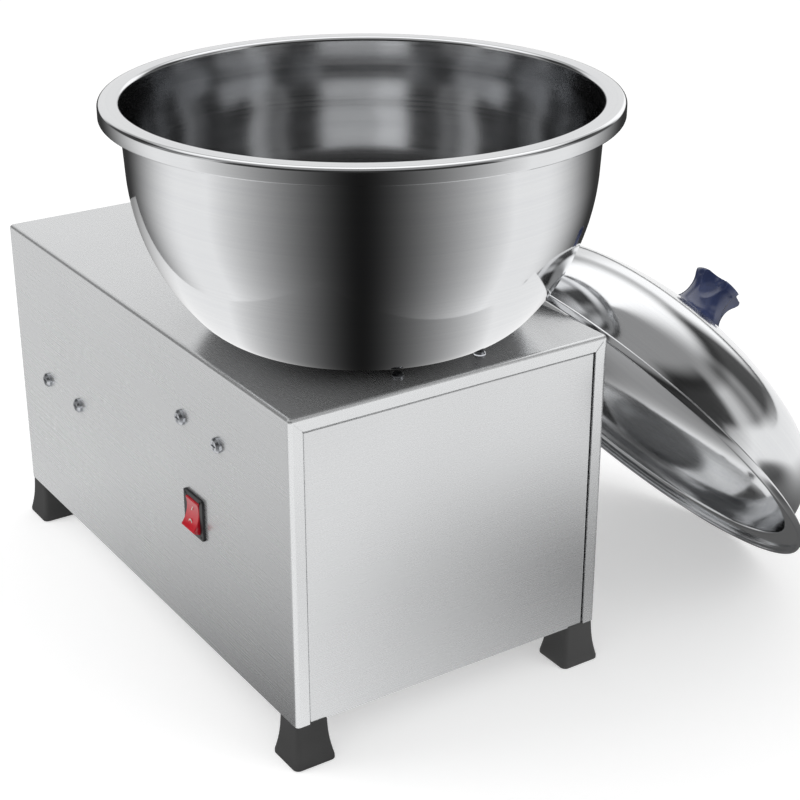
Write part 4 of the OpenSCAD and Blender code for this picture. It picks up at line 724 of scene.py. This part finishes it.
def lid_skin(inwards, count):
    """The dome's face from the screw hole to the neck, moved inwards by a thickness."""
    start = degrees(acos(LID_HOLE / (CROWN_RADIUS - inwards)))
    face = arc(CROWN, CROWN_RADIUS - inwards, start, 90 - CROWN_TURN, count)
    face += arc(SHOULDER, SHOULDER_RADIUS - inwards, 90 - CROWN_TURN, 0, count)[1:]
    return face


lid_section = lid_skin(0, 30)
lid_section += arc(NECK_FOLD, 2.0, 180, 270, 7)
lid_section += arc(EDGE_FOLD, 1.6, 90, 0, 8)
lid_section += arc(EDGE_BEAD, 1.15, 0, -230, 12)
lid_section += arc(EDGE_FOLD, 1.6 - LID_SHEET, 0, 90, 5)
lid_section += arc(NECK_FOLD, 2.0 + LID_SHEET, 270, 180, 7)
lid_section += lid_skin(LID_SHEET, 30)[::-1]
lid = turned("lid_shell", lid_section, LATHE_STEPS)
close_piece(lid, "lid", lid_polish, ["lid"], LID_FRAME, 40)

# %% [markdown]
# ## Knob
#
# The knob is pressed from phenolic: a thin round base, a waist, and a top with four finger hollows
# whose edges are soft. The body is turned, four stretched balls are cut from it, and a fine
# remesh with some smoothing rounds every edge, as the mould and the buffing wheel do.

# %% Knob
KNOB_PLACE = LID_FRAME @ Matrix.Translation((0, 0, 88 * MM))
SCOOP_REACH = 31.0
SCOOP_RADIUS = 16.5
SCOOP_HEIGHT = 27.0
SCOOP_STRETCH = 1.15
SCOOP_TURN = -62
KNOB_GRAIN = 0.6

# Base, its rim, the waist, the top's edge and the dished top, as (radius, height)
knob_section = [(0.0, 0.1), (13.0, -0.2), (22.0, -0.7), (28.6, -1.3)]
knob_section += arc((28.4, 0.6), 1.2, -40, 75, 7)
knob_section += [(26.0, 2.9)]
knob_section += arc((38.0, 19.5), 20.5, 234, 145, 19)
knob_section += arc((20.0, 34.4), 2.4, 0, 85, 7)
knob_section += [(16.0, 36.9), (10.0, 35.9), (5.0, 35.3), (0.0, 35.1)]
knob = turned("lid_knob_grip", knob_section, 96)
for quarter in range(4):
    turn = radians(SCOOP_TURN + 90 * quarter)
    scoop = begin("scoop", bpy.ops.mesh.primitive_uv_sphere_add, segments=64, ring_count=40,
                  radius=SCOOP_RADIUS * MM)
    bpy.ops.transform.resize(value=(1, 1, SCOOP_STRETCH))
    bpy.ops.transform.translate(value=(
        SCOOP_REACH * MM * cos(turn), SCOOP_REACH * MM * sin(turn), SCOOP_HEIGHT * MM))
    bpy.ops.object.transform_apply(location=True, scale=True)
    modify(knob, "BOOLEAN", operation="DIFFERENCE", object=scoop, solver="EXACT")
    bpy.data.objects.remove(scoop)
modify(knob, "REMESH", mode="VOXEL", voxel_size=KNOB_GRAIN * MM)
modify(knob, "SMOOTH", factor=0.5, iterations=8)
close_piece(knob, "lid", blue_phenolic, ["lid_knob"], KNOB_PLACE, 80)

# %% [markdown]
# ## Feet
#
# Each rubber foot is a square block that spreads towards the floor on slightly hollow sides, with
# rounded corners and a soft lower edge. One foot is shaped from a cube: the upright edges are
# bevelled, then the top is extruded upwards in small steps, each scaled a little smaller. The
# sole is hollow round the screw's head. The foot is copied to the four corners, each copy with its
# own mesh.

# %% Feet
FOOT_HIGH = 32.0
FOOT_WIDE = 31.6
FOOT_NARROW = 24.0
FOOT_SLAB = 2.0
FOOT_CORNER = 4.2
FOOT_CURVE_IN = 1.1
FOOT_STEPS = 8
SOLE_EDGE, SOLE_DROP = 1.2, 0.6
HOLLOW_WALL, HOLLOW_DEEP = 7.5, 16
FEET = ("foot_front_left", "foot_front_right", "foot_rear_left", "foot_rear_right")

foot = begin("foot_pattern", bpy.ops.mesh.primitive_cube_add, size=FOOT_WIDE * MM)
bpy.ops.transform.resize(value=(1, 1, FOOT_SLAB / FOOT_WIDE))
bpy.ops.object.transform_apply(scale=True)
bpy.ops.object.mode_set(mode="EDIT")
pick(foot, "EDGE", lambda middle, along: abs(along.z) > 0.9)
bpy.ops.mesh.bevel(offset=FOOT_CORNER * MM, segments=5)
pick(foot, "FACE", lambda middle, normal: normal.z > 0.9)
width = FOOT_WIDE
for step in range(FOOT_STEPS):
    share = (step + 1) / FOOT_STEPS
    curve_in = FOOT_CURVE_IN * sin(pi * share) * (1 - 0.3 * share)
    wanted = FOOT_WIDE + (FOOT_NARROW - FOOT_WIDE) * share - 2 * curve_in
    bpy.ops.mesh.extrude_region_move(TRANSFORM_OT_translate={
        "value": (0, 0, (FOOT_HIGH - FOOT_SLAB) / FOOT_STEPS * MM)})
    bpy.ops.transform.resize(value=(wanted / width, wanted / width, 1))
    width = wanted
pick(foot, "FACE", lambda middle, normal: normal.z < -0.9)
bpy.ops.mesh.inset(thickness=SOLE_EDGE * MM)
bpy.ops.transform.translate(value=(0, 0, -SOLE_DROP * MM))
bpy.ops.mesh.inset(thickness=HOLLOW_WALL * MM)
bpy.ops.mesh.extrude_region_move(TRANSFORM_OT_translate={"value": (0, 0, HOLLOW_DEEP * MM)})
bpy.ops.transform.resize(value=(0.9, 0.9, 1))
bpy.ops.object.mode_set(mode="OBJECT")
modify(foot, "BEVEL", width=0.5 * MM, segments=2, limit_method="ANGLE", angle_limit=radians(25))
lowest = min(vertex.co.z for vertex in foot.data.vertices)
for name in FEET:
    copy = foot.copy()
    copy.data = foot.data.copy()
    copy.name = name + "_rubber"
    bpy.context.collection.objects.link(copy)
    low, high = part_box(name)
    middle = (low + high) / 2
    close_piece(copy, "machine", moulded_rubber, [name],
                Matrix.Translation((middle.x, middle.y, low.z - lowest)), 30)
bpy.data.objects.remove(foot)

# %% [markdown]
# ## Switch
#
# The bezel is a moulded frame with a small radius on all its edges. It starts as a cube, the
# front face is inset to the opening and pushed in to make the well that the rocker tilts in. The
# back is inset and drawn out to the body behind the sheet, with four contact tabs on it, and a
# bevel softens the frame.

# %% Switch bezel
SWITCH_X = 88.0
SWITCH_Z = 100.0
SIDE_Y = -124.0
BEZEL_WIDE, BEZEL_THICK, BEZEL_HIGH = 27.0, 2.0, 31.0
WELL_WIDE, WELL_DEEP, WELL_HIGH = 18.7, 13.0, 24.7
BODY_WIDE, BODY_DEEP, BODY_HIGH = 22.0, 18.0, 28.0
BEZEL_CORNER, WELL_EDGE, BODY_EDGE = 1.5, 3.4, 1.6
TAB_SIZE = (6, 8.4, 0.8)
TAB_SIDE, TAB_BACK, TAB_UP = 5.5, 22, 7

bezel = begin("switch_bezel", bpy.ops.mesh.primitive_cube_add, size=MM,
              location=(SWITCH_X * MM, (SIDE_Y - BEZEL_THICK / 2) * MM, SWITCH_Z * MM))
bpy.ops.transform.resize(value=(BEZEL_WIDE, BEZEL_THICK, BEZEL_HIGH))
bpy.ops.object.transform_apply(location=True, scale=True)
bpy.ops.object.mode_set(mode="EDIT")
pick(bezel, "EDGE", lambda middle, along: abs(along.y) > 0.9)
bpy.ops.mesh.bevel(offset=BEZEL_CORNER * MM, segments=4)
pick(bezel, "FACE", lambda middle, normal: normal.y < -0.9)
bpy.ops.mesh.inset(thickness=WELL_EDGE * MM)
bpy.ops.transform.resize(value=(WELL_WIDE / (BEZEL_WIDE - 2 * WELL_EDGE), 1,
                                WELL_HIGH / (BEZEL_HIGH - 2 * WELL_EDGE)))
bpy.ops.mesh.extrude_region_move(TRANSFORM_OT_translate={"value": (0, WELL_DEEP * MM, 0)})
pick(bezel, "FACE", lambda middle, normal: normal.y > 0.9 and abs(middle.y - SIDE_Y) < 0.1)
bpy.ops.mesh.inset(thickness=BODY_EDGE * MM)
bpy.ops.transform.resize(value=(BODY_WIDE / (BEZEL_WIDE - 2 * BODY_EDGE), 1,
                                BODY_HIGH / (BEZEL_HIGH - 2 * BODY_EDGE)))
bpy.ops.mesh.extrude_region_move(TRANSFORM_OT_translate={"value": (0, BODY_DEEP * MM, 0)})
bpy.ops.object.mode_set(mode="OBJECT")
modify(bezel, "BEVEL", width=0.5 * MM, segments=3, limit_method="ANGLE",
       angle_limit=radians(40))
for side_x, side_z in ((-1, -1), (1, -1), (-1, 1), (1, 1)):
    tab = begin("contact_tab", bpy.ops.mesh.primitive_cube_add, size=MM, location=(
        (SWITCH_X + side_x * TAB_SIDE) * MM, (SIDE_Y + TAB_BACK) * MM,
        (SWITCH_Z + side_z * TAB_UP) * MM))
    bpy.ops.transform.resize(value=TAB_SIZE)
    bpy.ops.object.transform_apply(location=True, scale=True)
    modify(tab, "BEVEL", width=0.3 * MM, segments=2)
    bezel.select_set(True)
    bpy.context.view_layer.objects.active = bezel
    bpy.ops.object.join()
close_piece(bezel, "machine", moulded_nylon, ["switch_body"])

# %% [markdown]
# The rocker is one side view drawn out along its width: a round top and bottom that roll in the
# well, and a hollow front. It carries the two marks of any such switch, a bar and a ring, as thin
# raised inlays that follow the hollow.

# %% Rocker and its marks
ROCKER_WIDE = 18.0
ROCKER_RADIUS = 12.0
ROCKER_BACK = 109.47
ROCKER_TILT = -12
ROCKER_TIP = (ROCKER_RADIUS / 2, ROCKER_RADIUS * sin(radians(60)))
HOLLOW_RADIUS = 22.0
HOLLOW_MIDDLE = ROCKER_TIP[0] + sqrt(HOLLOW_RADIUS ** 2 - ROCKER_TIP[1] ** 2)
HOLLOW_TURN = degrees(asin(ROCKER_TIP[1] / HOLLOW_RADIUS))
ROCKER_PLACE = Matrix.Translation((SWITCH_X * MM, (SIDE_Y + 0.5) * MM, SWITCH_Z * MM)) \
    @ Matrix.Rotation(radians(ROCKER_TILT), 4, "X")

rocker_side = arc((HOLLOW_MIDDLE, 0), HOLLOW_RADIUS, 180 + HOLLOW_TURN, 180 - HOLLOW_TURN, 15)
rocker_side += arc((0, 0), ROCKER_RADIUS, 60, ROCKER_BACK, 9)[1:]
rocker_side += arc((0, 0), ROCKER_RADIUS, -ROCKER_BACK, -60, 9)[:-1]
rocker = draw("rocker_button", [Vector((-ROCKER_WIDE / 2, -out, up)) * MM
                                for out, up in rocker_side])
bpy.ops.mesh.edge_face_add()
bpy.ops.mesh.extrude_region_move(TRANSFORM_OT_translate={"value": (ROCKER_WIDE * MM, 0, 0)})
bpy.ops.mesh.select_all(action="SELECT")
bpy.ops.mesh.normals_make_consistent(inside=False)
bpy.ops.object.mode_set(mode="OBJECT")
modify(rocker, "BEVEL", width=0.6 * MM, segments=4, limit_method="ANGLE",
       angle_limit=radians(40))
close_piece(rocker, "switch_rocker", red_gloss, ["switch_rocker"],
            ROCKER_PLACE, 30)

MARK_UP = 5.4
MARK_TURN = asin(MARK_UP / HOLLOW_RADIUS)
MARK_OUT = HOLLOW_MIDDLE - HOLLOW_RADIUS * cos(MARK_TURN)
RING_SUNK, BAR_SUNK = 0.2, 0.05
BAR_SIZE = (0.8, 4.2, 0.5)
ring_mark = turned("ring_mark", [(1.5, 0), (2.2, 0), (2.1, 0.35), (1.6, 0.35)], 40)
ring_mark.matrix_world = Matrix.Translation((0, -(MARK_OUT - RING_SUNK) * MM, -MARK_UP * MM)) \
    @ Matrix.Rotation(radians(90) + MARK_TURN, 4, "X")
bar_mark = begin("bar_mark", bpy.ops.mesh.primitive_cube_add, size=MM)
bpy.ops.transform.resize(value=BAR_SIZE)
bpy.ops.object.transform_apply(scale=True)
modify(bar_mark, "BEVEL", width=0.12 * MM, segments=2)
bar_mark.matrix_world = Matrix.Translation((0, -(MARK_OUT - BAR_SUNK) * MM, MARK_UP * MM)) \
    @ Matrix.Rotation(radians(90) - MARK_TURN, 4, "X")
ring_mark.select_set(True)
bpy.ops.object.transform_apply(location=True, rotation=True)
bpy.ops.object.join()
bar_mark.name = "rocker_marks"
close_piece(bar_mark, "switch_rocker", white_polyamide, (), ROCKER_PLACE)

# %% [markdown]
# ## Light tables
#
# A flat sheet shows one small part of the studio, and a leaning lid another, where the bowl shows
# all of it. So the box and the lid each get a light table of their own: a see-through glowing
# plane just above the floor, which light linking lets only those pieces see. The floor's own
# light walls are then linked to all the others.

# %% Light tables
def light_table(name, lift, brightness, receivers):
    """A see-through plane that glows for the reflections of some pieces only."""
    bpy.ops.object.select_all(action="DESELECT")
    bpy.ops.mesh.primitive_plane_add(size=FLOOR_SIZE, location=(0, 0, FLOOR_Z + lift * MM))
    table = bpy.context.object
    table.name = name
    bpy.ops.object.transform_apply(location=True)
    glow = bpy.data.materials.new(name + "_glow")
    tree = new_tree(glow)
    add_node(tree, "OutputMaterial", {"Surface": add_node(tree, "AddShader", {
        0: add_node(tree, "Emission", {"Strength": brightness(tree, place_on_plane(tree))}),
        1: add_node(tree, "BsdfTransparent", {"Color": WHITE})})})
    table.data.materials.append(glow)
    link_light(table, receivers, "INCLUDE")
    hide_from_all_but_reflections(table)


def link_light(source, pieces, state):
    """Lets the pieces see the source's light, or takes them out of it."""
    source.light_linking.receiver_collection = bpy.data.collections.new(source.name + "_lights")
    for piece in pieces:
        source.light_linking.receiver_collection.objects.link(piece)
    for row in source.light_linking.receiver_collection.collection_objects:
        row.light_linking.link_state = state


def hide_from_all_but_reflections(card):
    """The card belongs to the studio, and only glossy rays see it."""
    card.visible_camera = False
    card.visible_diffuse = False
    card.visible_shadow = False


# %% [markdown]
# The box's table is bright in front of the end panel, darker towards the panel's lower right
# corner, and fades along the long side towards the near corner, as the photograph shows. The
# lid's table is dark towards the camera, and has a soft shade under the lid and one to its right.

# %% Brightness of the two tables
PANEL_CORNER = (0.29, 0.25, 0)  # on the floor, where the panel's lower right corner looks


def box_brightness(tree, where):
    """The table under the long side and the end panel, which look at different parts of it."""
    along = add_node(tree, "SeparateXYZ", {"Vector": where}, give="X")
    beside = add_node(tree, "SeparateXYZ", {"Vector": where}, give="Y")
    # Painted shadow: the long side reflects a glow that darkens towards the near corner, standing
    # in for the box's own shadow beside it
    side_near = add_node(tree, "MapRange", {
        "Value": along, "From Min": -0.25, "From Max": 0.20, "To Min": 0.72, "To Max": 0.0})
    side_far = add_node(tree, "MapRange", {
        "Value": along, "From Min": -0.80, "From Max": 0.0, "To Min": 0.72, "To Max": 0.56})
    outer = add_node(tree, "MapRange", {"Value": beside, "From Min": -0.15, "From Max": -0.34})
    side = add_node(tree, "Mix", {"Factor": outer, "A": side_near, "B": side_far},
                    data_type="FLOAT")
    corner = add_node(tree, "VectorMath", {0: where, 1: PANEL_CORNER}, give="Value",
                      operation="DISTANCE")
    # Painted shadow: darker round PANEL_CORNER, standing in for the shadow by the lid that the end
    # panel reflects
    end = add_node(tree, "MapRange", {
        "Value": corner, "From Min": 0.02, "From Max": 0.36, "To Min": 0.16, "To Max": 1.10})
    in_front = add_node(tree, "MapRange", {"Value": along, "From Min": 0.19, "From Max": 0.22})
    return add_node(tree, "Mix", {"Factor": in_front, "A": side, "B": end}, data_type="FLOAT")


# Middle, inner and outer radius in metres, and what is left of the light in the middle
LID_SHADES = [((0.20, 0.30, 0), 0.08, 0.42, 0.12), ((0.47, 0.47, 0), 0.05, 0.24, 0.15)]


def lid_brightness(tree, where):
    """The table that the lid sees, dark towards the camera and in the two shades."""
    shine = camera_gap(tree, towards_on_plane(tree, where))
    for middle, inner, outer, darkest in LID_SHADES:
        shade = add_node(tree, "MapRange", {
            "Value": add_node(tree, "VectorMath", {0: where, 1: middle}, give="Value",
                              operation="DISTANCE"),
            "From Min": inner, "From Max": outer, "To Min": darkest, "To Max": 1.0},
            interpolation_type="SMOOTHSTEP")
        shine = add_node(tree, "Math", {0: shine, 1: shade}, operation="MULTIPLY")
    return shine


sheet_pieces = [cad["housing"], cad["rear_panel"], cad["base_plate"], front_panel]
light_table("box_light_table", 1.0, box_brightness, sheet_pieces)
light_table("lid_light_table", 1.5, lid_brightness, [lid])
link_light(floor, sheet_pieces + [lid], "EXCLUDE")
print("light tables for", len(sheet_pieces), "sheet pieces and the lid")

# %% [markdown]
# In the photograph the bowl's belly keeps its upright bands down to its foot. So a card lies on
# the box's top that only reflections see, and only from above. It carries the camera side's dark
# gap, narrower than on the floor because the card is nearer: seen in the belly, the two meet. Its
# far left is dim, like the wall behind it. A second reflection finds it nearly dark, and so the
# box's top keeps its shadow under the bowl.

# %% Card on the box's top
CARD_NARROWER = 1.42
CARD_REACH = 45 * MM  # about as far as the bowl stands out over the front end and the near side
CARD_LIFT = 0.4 * MM
FAR_EDGE = 0.5 * MM

low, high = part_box("housing")
card_length, card_width = high.x - low.x + CARD_REACH, high.y - low.y + CARD_REACH
bpy.ops.mesh.primitive_plane_add(size=1, location=(
    low.x + card_length / 2, high.y + FAR_EDGE - card_width / 2, high.z + CARD_LIFT))
card = bpy.context.object
card.name = "top_card"
bpy.ops.transform.resize(value=(card_length, card_width, 1))
bpy.ops.object.transform_apply(location=True, scale=True)
card_glow = bpy.data.materials.new("top_card_glow")
tree = new_tree(card_glow)
turn = add_node(tree, "Math", {0: towards_on_plane(tree, place_on_plane(tree))},
                operation="ARCCOSINE")
turn = add_node(tree, "Math", {0: turn, 1: CARD_NARROWER}, operation="MULTIPLY")
shine = camera_gap(tree, add_node(tree, "Math", {0: turn}, operation="COSINE"))
first_only = add_node(tree, "MapRange", {
    "Value": add_node(tree, "LightPath", give="Ray Depth"),
    "From Min": 1.0, "From Max": 2.0, "To Min": 1.0, "To Max": 0.1})
shine = add_node(tree, "Math", {0: shine, 1: first_only}, operation="MULTIPLY")
far_left = add_node(tree, "MapRange", {
    "Value": turn, "From Min": 2.1, "From Max": 3.15, "To Min": 1.0, "To Max": 0.3})
shine = add_node(tree, "Math", {0: shine, 1: far_left}, operation="MULTIPLY")
add_node(tree, "OutputMaterial", {"Surface": add_node(tree, "MixShader", {
    0: add_node(tree, "NewGeometry", give="Backfacing"),
    1: add_node(tree, "Emission", {"Strength": shine}),
    2: add_node(tree, "BsdfTransparent", {"Color": WHITE})})})
card.data.materials.append(card_glow)
hide_from_all_but_reflections(card)
print("card", [round(v, 3) for v in card.dimensions])
